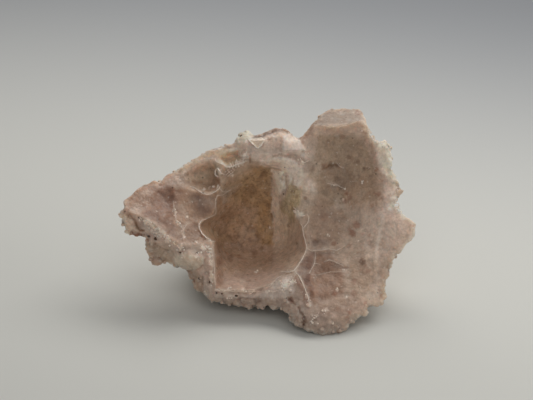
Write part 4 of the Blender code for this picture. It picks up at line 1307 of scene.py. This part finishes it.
def growth_tree(build, inputs):
    """A Geometry Nodes tree named for the function that builds it, with a crust, a seed and a material."""
    every = {
        "Geometry": ("NodeSocketGeometry", None),
        "Crust": ("NodeSocketObject", None),
        "Seed": ("NodeSocketInt", 1),
        "Material": ("NodeSocketMaterial", None),
    }
    outputs = {"Geometry": "NodeSocketGeometry"}
    tree = new_tree(build.__name__, "GeometryNodeTree", {**every, **inputs}, outputs)
    given = add(tree, "NodeGroupInput").outputs
    crust = add(tree, "GeometryNodeObjectInfo", {"Object": given["Crust"]}, transform_space="RELATIVE")
    return tree, given, crust.outputs["Geometry"]


def finish_tree(tree, given, geometry):
    """Ends the tree in realized, smooth geometry of the given material."""
    real = add(tree, "GeometryNodeRealizeInstances", {"Geometry": geometry}).outputs[0]
    coated = add(tree, "GeometryNodeSetMaterial", {"Geometry": real, "Material": given["Material"]})
    put(add(tree, "NodeGroupOutput").inputs["Geometry"], tree, coated.outputs[0])


def onto_crust(tree, curve, crust):
    """Drops the points of curves straight into the face, onto the crust."""
    ray = {"Target Geometry": crust, "Ray Direction": tuple(INTO_FACE), "Ray Length": 0.2}
    hit = add(tree, "GeometryNodeRaycast", ray, data_type="FLOAT").outputs
    inputs = {"Geometry": curve, "Selection": hit["Is Hit"], "Position": hit["Hit Position"]}
    return add(tree, "GeometryNodeSetPosition", inputs).outputs[0]


def random_between(tree, given, low, high, draw):
    """A number between low and high at each point; each draw has its own numbers."""
    node = add(tree, "FunctionNodeRandomValue", data_type="FLOAT")
    seed = maths(tree, "ADD", given["Seed"], float(draw))
    for name, value in (("Min", low), ("Max", high), ("Seed", seed)):
        put(next(s for s in node.inputs if s.name == name and s.enabled), tree, value)
    return next(s for s in node.outputs if s.enabled)


def wandering(tree, size, reach):
    """An offset that changes along a line in waves of this size."""
    place = add(tree, "GeometryNodeInputPosition").outputs[0]
    noise_inputs = {"Vector": place, "Scale": 1 / size, "Detail": 2.0}
    waves = add(tree, "ShaderNodeTexNoise", noise_inputs).outputs["Color"]
    return scaled(tree, vector_maths(tree, "SUBTRACT", waves, (0.5, 0.5, 0.5)), reach)


def septa_tree():
    """Thin walls on the crust along curves, half sunk. A curve's radius is how far its wall stands out."""
    inputs = {
        "Spacing": float_input(0.0003),
        "Wander": float_input(0.0006),
        "Foot": float_input(0.42),
        "Edge": float_input(0.22),
        "Unevenness": float_input(1.8),
    }
    tree, given, crust = growth_tree(septa_tree, inputs)
    spaced = {"Curve": given["Geometry"], "Length": given["Spacing"]}
    points = add(tree, "GeometryNodeResampleCurve", spaced, mode="LENGTH").outputs[0]
    offset = wandering(tree, 0.0011, given["Wander"])
    points = add(tree, "GeometryNodeSetPosition", {"Geometry": points, "Offset": offset}).outputs[0]
    points = onto_crust(tree, points, crust)
    place = add(tree, "GeometryNodeInputPosition").outputs[0]
    noise_inputs = {"Vector": place, "Scale": 1500.0, "Detail": 3.0}
    waves = add(tree, "ShaderNodeTexNoise", noise_inputs).outputs["Fac"]
    swing = times(tree, maths(tree, "SUBTRACT", waves, 0.5), given["Unevenness"])
    uneven = maths(tree, "MAXIMUM", maths(tree, "ADD", swing, 1.0), 0.3)
    height = times(tree, add(tree, "GeometryNodeInputRadius").outputs[0], uneven)
    facing = {"Curve": points, "Normal": tuple(-INTO_FACE)}
    points = add(tree, "GeometryNodeSetCurveNormal", facing, mode="FREE").outputs[0]
    sides = {"Bottom Width": given["Foot"], "Top Width": given["Edge"], "Height": 2.0, "Offset": 0.0}
    section = add(tree, "GeometryNodeCurvePrimitiveQuadrilateral", sides, mode="TRAPEZOID").outputs[0]
    upright = {"Geometry": section, "Rotation": (0, 0, -math.pi / 2)}
    section = add(tree, "GeometryNodeTransform", upright).outputs[0]
    swept = {"Curve": points, "Profile Curve": section, "Scale": height, "Fill Caps": True}
    finish_tree(tree, given, add(tree, "GeometryNodeCurveToMesh", swept).outputs[0])
    return tree


def comb_tree():
    """Spikes that stand on the crust along curves and point one way, each turned a little."""
    inputs = {
        "Spacing": float_input(0.0005),
        "Spike": ("NodeSocketObject", None),
        "Direction": ("NodeSocketVector", (0, 0, 1)),
        "Shortest": float_input(0.0006),
        "Longest": float_input(0.0015),
        "Turn": float_input(0.35),
    }
    tree, given, crust = growth_tree(comb_tree, inputs)
    spaced = {"Curve": given["Geometry"], "Length": given["Spacing"]}
    line = add(tree, "GeometryNodeResampleCurve", spaced, mode="LENGTH").outputs[0]
    line = onto_crust(tree, line, crust)
    points = add(tree, "GeometryNodeCurveToPoints", {"Curve": line}, mode="EVALUATED").outputs["Points"]
    low = times(tree, given["Turn"], -1.0)
    turns = {axis: random_between(tree, given, low, given["Turn"], draw) for draw, axis in enumerate("XYZ")}
    turn = add(tree, "ShaderNodeCombineXYZ", turns).outputs[0]
    way = vector_maths(tree, "ADD", given["Direction"], turn)
    rotation = add(tree, "FunctionNodeAlignRotationToVector", {"Vector": way}, axis="Z").outputs[0]
    spike = add(tree, "GeometryNodeObjectInfo", {"Object": given["Spike"]}).outputs["Geometry"]
    size = random_between(tree, given, given["Shortest"], given["Longest"], 5)
    placed = {"Points": points, "Instance": spike, "Rotation": rotation, "Scale": size}
    finish_tree(tree, given, add(tree, "GeometryNodeInstanceOnPoints", placed).outputs[0])
    return tree


def druse_tree():
    """Small crystals that stand on the crust where an attribute says, each leaning its own way."""
    inputs = {
        "Crystal": ("NodeSocketObject", None),
        "Where": ("NodeSocketString", "drusy"),
        "Apart": float_input(0.0013),
        "Most per square metre": float_input(500000.0),
        "Smallest": float_input(0.0005),
        "Largest": float_input(0.0015),
        "Lean": float_input(0.6),
    }
    tree, given, crust = growth_tree(druse_tree, inputs)
    where = {"Name": given["Where"]}
    share = add(tree, "GeometryNodeInputNamedAttribute", where, data_type="FLOAT").outputs["Attribute"]
    sown = {
        "Mesh": crust, "Distance Min": given["Apart"], "Density Max": given["Most per square metre"],
        "Density Factor": share, "Seed": given["Seed"],
    }
    kind = "GeometryNodeDistributePointsOnFaces"
    spread = add(tree, kind, sown, distribute_method="POISSON").outputs
    low = times(tree, given["Lean"], -1.0)
    turns = {
        "X": random_between(tree, given, low, given["Lean"], 1),
        "Y": random_between(tree, given, low, given["Lean"], 2),
        "Z": random_between(tree, given, 0.0, 1.0, 3),
    }
    lean = add(tree, "ShaderNodeCombineXYZ", turns).outputs[0]
    turned = {"Rotation": spread["Rotation"], "Rotate By": lean}
    rotation = add(tree, "FunctionNodeRotateRotation", turned, rotation_space="LOCAL").outputs[0]
    crystal = add(tree, "GeometryNodeObjectInfo", {"Object": given["Crystal"]}).outputs["Geometry"]
    size = random_between(tree, given, given["Smallest"], given["Largest"], 4)
    placed = {"Points": spread["Points"], "Instance": crystal, "Rotation": rotation, "Scale": size}
    finish_tree(tree, given, add(tree, "GeometryNodeInstanceOnPoints", placed).outputs[0])
    return tree


def grown(name, base, build, material, **inputs):
    """A piece that a growth tree makes from a base object, as a plain mesh. The base is removed."""
    tree = shared(build)
    modifier = base.modifiers.new(name, "NODES")
    modifier.node_group = tree
    sockets = tree.interface.items_tree
    identifiers = {socket.name: socket.identifier for socket in sockets if socket.in_out == "INPUT"}
    inputs["Material"] = material
    inputs["Crust"] = bpy.data.objects[CRUST]
    for key, value in inputs.items():
        modifier[identifiers[key.replace("_", " ")]] = value
    mesh = evaluated_mesh(base)
    piece = new_object(name, mesh)
    mesh.name = name
    bpy.data.objects.remove(base)
    if not mesh.polygons:
        raise RuntimeError(f"{name} came out empty")
    return piece


WALL_OUT = 0.7  # how far a wall stands out of the crust, as a share of its height
END_HEIGHT = 0.5  # of a wall, as a share of its height between its ends


def lines_in_front(name, lines):
    """A curve with one straight-cornered line for each pair of a height in millimetres and a path."""
    curve = bpy.data.curves.new(name, "CURVE")
    curve.dimensions = "3D"
    for height, path in lines:
        line = curve.splines.new("POLY")
        line.points.add(len(path) - 1)
        for i, (point, place) in enumerate(zip(line.points, path)):
            point.co = (*in_frame(*place, CLEAR_OF_FACE), 1)
            at_end = i in (0, len(path) - 1)
            point.radius = WALL_OUT * height * UNIT * (END_HEIGHT if at_end else 1)
    return new_object(name, curve)


SPIKE = ((-0.5, 0.3), (0.0, 0.34), (0.55, 0.22))  # rings of a comb's spike, whose top is at 1
SPIKE_FLAT = (0.5, 0.3)  # what a spike is narrowed by, each way
SHORTEST_SPIKE = 0.4  # as a share of the longest one
GRAIN = ((-0.35, 0.3), (0.0, 0.5), (0.3, 0.38))  # rings of a rounded grain of quartz
GRAIN_TOP = 0.45
SMALLEST_CRYSTAL, SMALLEST_SUGAR = 0.35, 0.4  # as shares of the largest ones
SUGAR_LEAN = 1.2  # how far a sugary grain leans at most, in radians
MOST_SUGAR = 1.5e6  # sugary grains per square metre at most
TIP = (0.05, -0.04)  # where the top of a crystal is, a little off its middle


def crystal_of(name, sides, rings, top):
    """A closed crystal that starts below zero, from rings of (height, radius) and the height of its top."""
    bm = bmesh.new()
    loops = []
    for number, (height, radius) in enumerate(rings):
        turns = [math.tau * (i + 0.5 * (number == 1)) / sides for i in range(sides)]
        loops.append([bm.verts.new((radius * math.cos(t), radius * math.sin(t), height)) for t in turns])
    tip = bm.verts.new((*TIP, top))
    bm.faces.new(loops[0])
    join_rings(bm, loops)
    for i in range(sides):
        bm.faces.new((loops[-1][i], loops[-1][i - 1], tip))
    bmesh.ops.recalc_face_normals(bm, faces=bm.faces)
    return object_of(bm, name)


def hidden_base():
    """An object with an empty mesh, for a tree that needs only the crust."""
    return new_object("base", bpy.data.meshes.new("base"))


# ------------------------ Settings


def amount(name, description, default, least=0, **kind):
    return FloatProperty(name=name, description=description, default=default, min=least, **kind)


def length(name, description, default):
    return amount(name, description, default, unit="LENGTH", precision=5)


def tone(name, description, *display):
    return FloatVectorProperty(
        name=name, description=description, subtype="COLOR", size=3, min=0, max=1,
        default=to_linear(display),
    )


class EpimorphCrust(bpy.types.PropertyGroup):
    thickness: length("Thickness", "Crust thickness at the bottom of the pocket", 0.0110)
    rim_share: amount(
        "Rim share", "Share of the thickness that the foremost rim has", 0.6, max=1, subtype="FACTOR"
    )
    block_depth: length("Block depth", "Depth of the solid that the hollow side is the front of", 0.060)
    fold_fill: length("Fold fill", "Folds of the growth narrower than twice this are filled", 0.0020)
    swell_size: length("Swell size", "Size of the broad swellings of the skin", 0.016)
    swell_height: length("Swell height", "Height of the broad swellings of the skin", 0.004)
    druse_size: length("Druse size", "Size of the rounded lumps all over the skin", 0.0052)
    druse_height: length("Druse height", "Height of those lumps", 0.0022)
    ragged_size: length("Ragged size", "Size of the small lumps that break up the rim", 0.0030)
    ragged_height: length("Ragged height", "Height of those lumps", 0.0021)
    grain_size: length("Grain size", "Size of the smallest lumps of the skin", 0.0014)
    grain_height: length("Grain height", "Height of those lumps", 0.0006)
    wave_size: length("Wave size", "Size of the faint waves on the casts", 0.0030)
    wave_height: length("Wave height", "Height of those waves", 0.0006)
    skin_start: length("Skin start", "How far from the casts the rough skin begins", 0.0008)
    growth_voxel: length("Growth voxel", "How finely the growth is made", 0.0008)
    crust_voxel: length("Crust voxel", "How finely the finished crust is made", 0.0005)
    cast_levels: IntProperty(
        name="Cast levels", description="How finely the casts are divided", default=3, min=1, max=5
    )


class EpimorphGrowths(bpy.types.PropertyGroup):
    septa_spacing: length("Septa spacing", "How far apart a thin wall's points are", 0.0003)
    septa_wander: length("Septa wander", "How far a thin wall strays to either side", 0.0006)
    spike_spacing: length("Spike spacing", "How far apart the spikes of a comb stand", 0.0007)
    spike_length: length("Spike length", "Length of the longest spikes", 0.0024)
    crystal_apart: length("Crystal spacing", "Least distance between two crystals of the skin", 0.0013)
    crystal_size: length("Crystal size", "Size of the largest crystals of the skin", 0.0017)
    sugar_apart: length("Sugar spacing", "Least distance between two grains of the sugary crests", 0.0005)
    sugar_size: length("Sugar size", "Size of the largest of those grains", 0.0009)
    seed: IntProperty(name="Seed", description="Starts the random draws", default=7, min=0)


class EpimorphColours(bpy.types.PropertyGroup):
    skin: tone("Skin", "Drusy quartz of the outer side", 214, 196, 180)
    milky: tone("Milky", "Milky clouds, crests and glints", 232, 220, 208)
    smoky: tone("Smoky", "Darker, clearer patches", 150, 128, 112)
    septa: tone("Septa", "Thin white walls and spikes", 254, 238, 224)
    dust: tone("Dust", "Fine brown grains", 112, 80, 56)
    speck: tone("Speck", "Dark mineral specks", 62, 50, 44)
    rust: tone("Rust", "Iron-stained specks", 150, 102, 78)


class EpimorphStage(bpy.types.PropertyGroup):
    floor: tone("Floor", "Pale floor round the specimen", 212, 214, 211)
    # painted shade: the floor is painted darker towards the back, where the light falls off
    falloff_shade: tone("Falloff shade", "Floor far behind the specimen", 156, 160, 166)
    lamp: tone("Lamp", "Light of the lamps", 255, 251, 245)
    sky: tone("Sky", "Light from all round", 188, 187, 186)
    lamp_power: amount("Lamp power", "Power of the overhead lamp in watts", 1.32, subtype="POWER")
    fill_power: amount("Fill power", "Power of the soft lamp in front, in watts", 0.68, subtype="POWER")
    lamp_size: length("Lamp size", "Width of the overhead lamp", 0.6)
    lamp_height: length("Lamp height", "Height of the overhead lamp above the floor", 0.35)
    sky_strength: amount("Sky strength", "Strength of the light from all round", 0.38)
    lens: amount("Lens", "Focal length of the camera", 120, least=20, unit="CAMERA")


class EpimorphSettings(bpy.types.PropertyGroup):
    crust: PointerProperty(type=EpimorphCrust)
    growths: PointerProperty(type=EpimorphGrowths)
    colours: PointerProperty(type=EpimorphColours)
    stage: PointerProperty(type=EpimorphStage)


# ------------------------ Operators

CRUST = "milky_crust"


class EPIMORPH_OT_crust(bpy.types.Operator):
    """Grow the quartz crust over the casts of the hollow side"""

    bl_idname = "epimorph.crust"
    bl_label = "Grow the Crust"

    def execute(self, context):
        made = context.scene.epimorph.crust
        colours = context.scene.epimorph.colours
        surface = cast_surface(made.cast_levels, made.rim_share)
        block = block_behind(surface, made.block_depth)
        crust = crust_growth(surface, made)
        crust.name = CRUST
        add_modifier(crust, "BOOLEAN", operation="INTERSECT", object=block, solver="MANIFOLD")
        add_modifier(crust, "REMESH", mode="VOXEL", voxel_size=made.crust_voxel)
        apply_modifiers(crust)
        places, distance, on_rim = cast_masks(crust.data, surface)
        cast = 1 - smooth_step(distance, made.crust_voxel, SNAP_REACH * made.crust_voxel)
        coords = array_of(crust.data.vertices, "co")
        coords += cast[:, None] * (places - coords)
        crust.data.vertices.foreach_set("co", coords.astype(np.float32).ravel())
        fine_relief(crust, face_on_of(coords), distance, on_rim, made)
        mesh = crust.data
        mesh.name = CRUST
        hollow = 1 - smooth_step(distance, *HOLLOW_EDGE)
        coords = face_on_of(array_of(mesh.vertices, "co"))
        mounds_and_cracks(mesh, coords, hollow)
        colour_crust(mesh, coords, hollow, on_rim, colours)
        mesh.transform(Matrix.Translation(-FACE_ORIGIN))
        stand_on_floor(mesh)
        mesh.materials.clear()
        mesh.materials.append(milky_quartz(colours))
        mesh.shade_smooth()
        for helper in (surface, block):
            bpy.data.objects.remove(helper)
        keep(crust, replaced=[NODE])
        return {"FINISHED"}


class EPIMORPH_OT_septa(bpy.types.Operator):
    """Stand the thin walls and the combs on the crust"""

    bl_idname = "epimorph.septa"
    bl_label = "Stand the Septa"

    def execute(self, context):
        growths = context.scene.epimorph.growths
        white = white_quartz(context.scene.epimorph.colours)
        height, walls = SHORT_WALLS
        lines = lines_in_front("septa", [*SEPTA.values(), *((height, wall) for wall in walls)])
        septa = grown(
            "thin_septa", lines, septa_tree, white,
            Spacing=growths.septa_spacing, Wander=growths.septa_wander,
        )
        keep(septa)
        spike = crystal_of("spike", 4, SPIKE, 1)
        for vert in spike.data.vertices:
            vert.co.x *= SPIKE_FLAT[0]
            vert.co.y *= SPIKE_FLAT[1]
        for number, ((across, up, out), path) in enumerate(COMBS, 1):
            comb = grown(
                f"comb_{number}", lines_in_front("comb", [(1, path)]), comb_tree, white,
                Spacing=growths.spike_spacing, Spike=spike, Seed=growths.seed + number,
                Direction=ACROSS * across + UP_FACE * up - INTO_FACE * out,
                Shortest=growths.spike_length * SHORTEST_SPIKE, Longest=growths.spike_length,
            )
            keep(comb)
        bpy.data.objects.remove(spike)
        return {"FINISHED"}


class EPIMORPH_OT_druse(bpy.types.Operator):
    """Cover the outer skin and the broken rim with small crystals"""

    bl_idname = "epimorph.druse"
    bl_label = "Grow the Druse"

    def execute(self, context):
        growths = context.scene.epimorph.growths
        drusy = drusy_quartz(context.scene.epimorph.colours)
        crystal = crystal_of("crystal", 6, GRAIN, GRAIN_TOP)
        druse = grown(
            "drusy_skin", hidden_base(), druse_tree, drusy,
            Crystal=crystal, Apart=growths.crystal_apart, Largest=growths.crystal_size,
            Smallest=growths.crystal_size * SMALLEST_CRYSTAL, Seed=growths.seed,
        )
        stand_on_floor(druse.data)
        keep(druse)
        sugar = grown(
            "sugar_grains", hidden_base(), druse_tree, bpy.data.materials["white_quartz"],
            Crystal=crystal, Where="sugary", Apart=growths.sugar_apart, Largest=growths.sugar_size,
            Smallest=growths.sugar_size * SMALLEST_SUGAR, Seed=growths.seed + 1, Lean=SUGAR_LEAN,
            Most_per_square_metre=MOST_SUGAR,
        )
        keep(sugar)
        bpy.data.objects.remove(crystal)
        return {"FINISHED"}


class EPIMORPH_OT_grains(bpy.types.Operator):
    """Set the grains of ore, the flake and the curled thread on the crust"""

    bl_idname = "epimorph.grains"
    bl_label = "Set the Grains"

    def execute(self, context):
        tree = tree_of(bpy.data.objects[CRUST].data)
        keep(ore_grains(tree, dark_ore(context.scene.epimorph.colours)))
        keep(white_flakes(tree, bpy.data.materials["drusy_quartz"]))
        keep(curled_thread(bpy.data.materials["white_quartz"]))
        return {"FINISHED"}


def on_crust(tree, across, up):
    """Where the crust is, straight into the face from here, and the way that it faces."""
    place, normal, _, _ = tree.ray_cast(in_frame(across, up, CLEAR_OF_FACE), INTO_FACE)
    if place is None:
        raise RuntimeError(f"no crust behind {across}, {up}")
    return place, normal


def ore_grains(tree, material):
    """Dark angular grains, each nearly half sunk into the crust."""
    bm = bmesh.new()
    for number, (across, up, radius) in enumerate(ORE_GRAINS):
        radius *= UNIT
        place, normal = on_crust(tree, across, up)
        made = bmesh.ops.create_icosphere(bm, subdivisions=2, radius=radius)
        turn = Matrix.Rotation(number, 3, "Z")
        for vert in made["verts"]:
            where = vert.co / radius * ORE_BUMP_SCALE + Vector((number, 0, 0))
            bump = 1 + ORE_BUMPS * noise.noise(where)
            stretched = Vector(a * b for a, b in zip(vert.co, ORE_SHAPE))
            vert.co = place - normal * radius * ORE_SUNK + turn @ stretched * bump
    return object_of(bm, "ore_grains", material)


def white_flakes(tree, material):
    """A thin broken flake with a pale edge."""
    bm = bmesh.new()
    middle = sum((Vector(p) for p in FLAKE), Vector((0, 0))) / len(FLAKE)
    rings, pale = [], []
    for out, share, colour in FLAKE_LAYERS:
        rings.append([])
        for point in FLAKE:
            place, _ = on_crust(tree, *(middle + (Vector(point) - middle) * share))
            rings[-1].append(bm.verts.new(place - INTO_FACE * out * UNIT))
            pale.append(to_linear(colour))
    bm.faces.new(rings[0])
    bm.faces.new(reversed(rings[-1]))
    join_rings(bm, rings)
    bmesh.ops.recalc_face_normals(bm, faces=bm.faces)
    flake = object_of(bm, "white_flakes", material)
    store(flake.data, "tint", np.array(pale))
    return flake


def curled_thread(material):
    """A hair of quartz that curls off the right edge."""
    curve = bpy.data.curves.new("curled_thread", "CURVE")
    curve.dimensions = "3D"
    curve.bevel_depth = THREAD_RADIUS * UNIT
    curve.bevel_resolution = 2
    curve.use_fill_caps = True
    line = curve.splines.new("NURBS")
    line.points.add(len(THREAD) - 1)
    line.use_endpoint_u = True
    for point, place in zip(line.points, THREAD):
        point.co = (*in_frame(*place), 1)
    made = new_object("curled_thread", curve)
    mesh = evaluated_mesh(made)
    bpy.data.objects.remove(made)
    mesh.materials.clear()
    mesh.materials.append(material)
    mesh.shade_smooth()
    return new_object("curled_thread", mesh)


FALLOFF_SLANT, FALLOFF_REACH = 0.35, 0.33  # painted fall-off of the light: how the floor turns to its darker colour towards the back, in metres
SIDE_WEAKER = 9  # how many times weaker than the overhead lamp the one on the right is


class EPIMORPH_OT_stage(bpy.types.Operator):
    """Set the pale floor, the soft light and the camera"""

    bl_idname = "epimorph.stage"
    bl_label = "Set the Stage"

    def execute(self, context):
        stage = context.scene.epimorph.stage
        bm = bmesh.new()
        bmesh.ops.create_grid(bm, size=2)
        material, tree, shader = new_material("pale_floor", Roughness=0.9)
        along = add(tree, "ShaderNodeSeparateXYZ", {"Vector": object_place(tree)}).outputs
        # painted fall-off of the light: the floor darkens towards the back and the right
        slanted = maths(tree, "MULTIPLY_ADD", along["X"], FALLOFF_SLANT, along["Y"])
        behind = ramp(tree, slanted, 0.0, FALLOFF_REACH)
        colour = mix(tree, behind, opaque(stage.floor), opaque(stage.falloff_shade))
        finish_shader(tree, shader, Base_Color=colour)
        floor = object_of(bm, "floor", material)
        size = (stage.lamp_size, stage.lamp_size / 3)
        add_lamp("overhead", (0.09, 0.2, stage.lamp_height), size, stage.lamp_power, stage.lamp)
        add_lamp("front_fill", (0.03, -0.4, 0.45), (0.52, 0.52), stage.fill_power, stage.lamp)
        side_power = stage.lamp_power / SIDE_WEAKER
        add_lamp("side_fill", (0.4, -0.05, 0.14), (0.2, 0.1), side_power, stage.lamp)
        world = bpy.data.worlds.new("studio")
        world.use_nodes = True
        background = world.node_tree.nodes["Background"].inputs
        background["Color"].default_value = opaque(stage.sky)
        background["Strength"].default_value = stage.sky_strength
        context.scene.world = world
        aim_camera(context.scene, stage.lens)
        context.scene.view_settings.view_transform = "Standard"
        return {"FINISHED"}


def add_lamp(name, place, size, power, colour):
    """A soft lamp, this wide and this deep, that faces the specimen."""
    lamp = bpy.data.lights.new(name, "AREA")
    lamp.shape = "RECTANGLE"
    lamp.size, lamp.size_y = size
    lamp.energy = power
    lamp.color = colour
    obj = new_object(name, lamp)
    obj.location = place
    obj.rotation_mode = "QUATERNION"
    obj.rotation_quaternion = (Vector(place) - LIT).to_track_quat("Z", "Y")


LIT = Vector((0, 0, 0.02))  # what the lamps face
SENSOR = 36  # mm
VIEW_WIDTH = 0.184  # how much the view takes in at the specimen, in metres
VIEW_MIDDLE = (-0.5, 45.2, 8)  # across, up, deep


def aim_camera(scene, lens):
    """The camera looks straight into the hollow side, and the view is VIEW_WIDTH wide at the specimen."""
    camera = new_object("camera", bpy.data.cameras.new("camera"))
    camera.data.lens = lens
    camera.data.sensor_width = SENSOR
    camera.location = in_frame(*VIEW_MIDDLE) - INTO_FACE * (VIEW_WIDTH * lens / SENSOR)
    camera.rotation_mode = "QUATERNION"
    camera.rotation_quaternion = INTO_FACE.to_track_quat("-Z", "Y")
    scene.camera = camera


class VIEW3D_PT_epimorph(bpy.types.Panel):
    """Sizes and colours of the epimorph, and the steps that make it"""

    bl_idname = "VIEW3D_PT_epimorph"
    bl_label = "Quartz Epimorph"
    bl_space_type = "VIEW_3D"
    bl_region_type = "UI"
    bl_category = "Epimorph"

    def draw(self, context):
        settings = context.scene.epimorph
        for step in STEPS:
            self.layout.operator(step.bl_idname)
        for group in (settings.crust, settings.growths, settings.colours, settings.stage):
            box = self.layout.box()
            for name in group.__annotations__:
                box.prop(group, name)


STEPS = (
    EPIMORPH_OT_crust, EPIMORPH_OT_septa, EPIMORPH_OT_druse, EPIMORPH_OT_grains, EPIMORPH_OT_stage,
)
GROUPS = (EpimorphCrust, EpimorphGrowths, EpimorphColours, EpimorphStage, EpimorphSettings)
CLASSES = (*GROUPS, *STEPS, VIEW3D_PT_epimorph)


def register():
    for cls in CLASSES:
        bpy.utils.register_class(cls)
    bpy.types.Scene.epimorph = PointerProperty(type=EpimorphSettings)


def unregister():
    del bpy.types.Scene.epimorph
    for cls in reversed(CLASSES):
        bpy.utils.unregister_class(cls)


def main():
    register()
    bpy.ops.epimorph.crust()
    bpy.ops.epimorph.septa()
    bpy.ops.epimorph.druse()
    bpy.ops.epimorph.grains()
    bpy.ops.epimorph.stage()


if __name__ == "__main__":
    main()
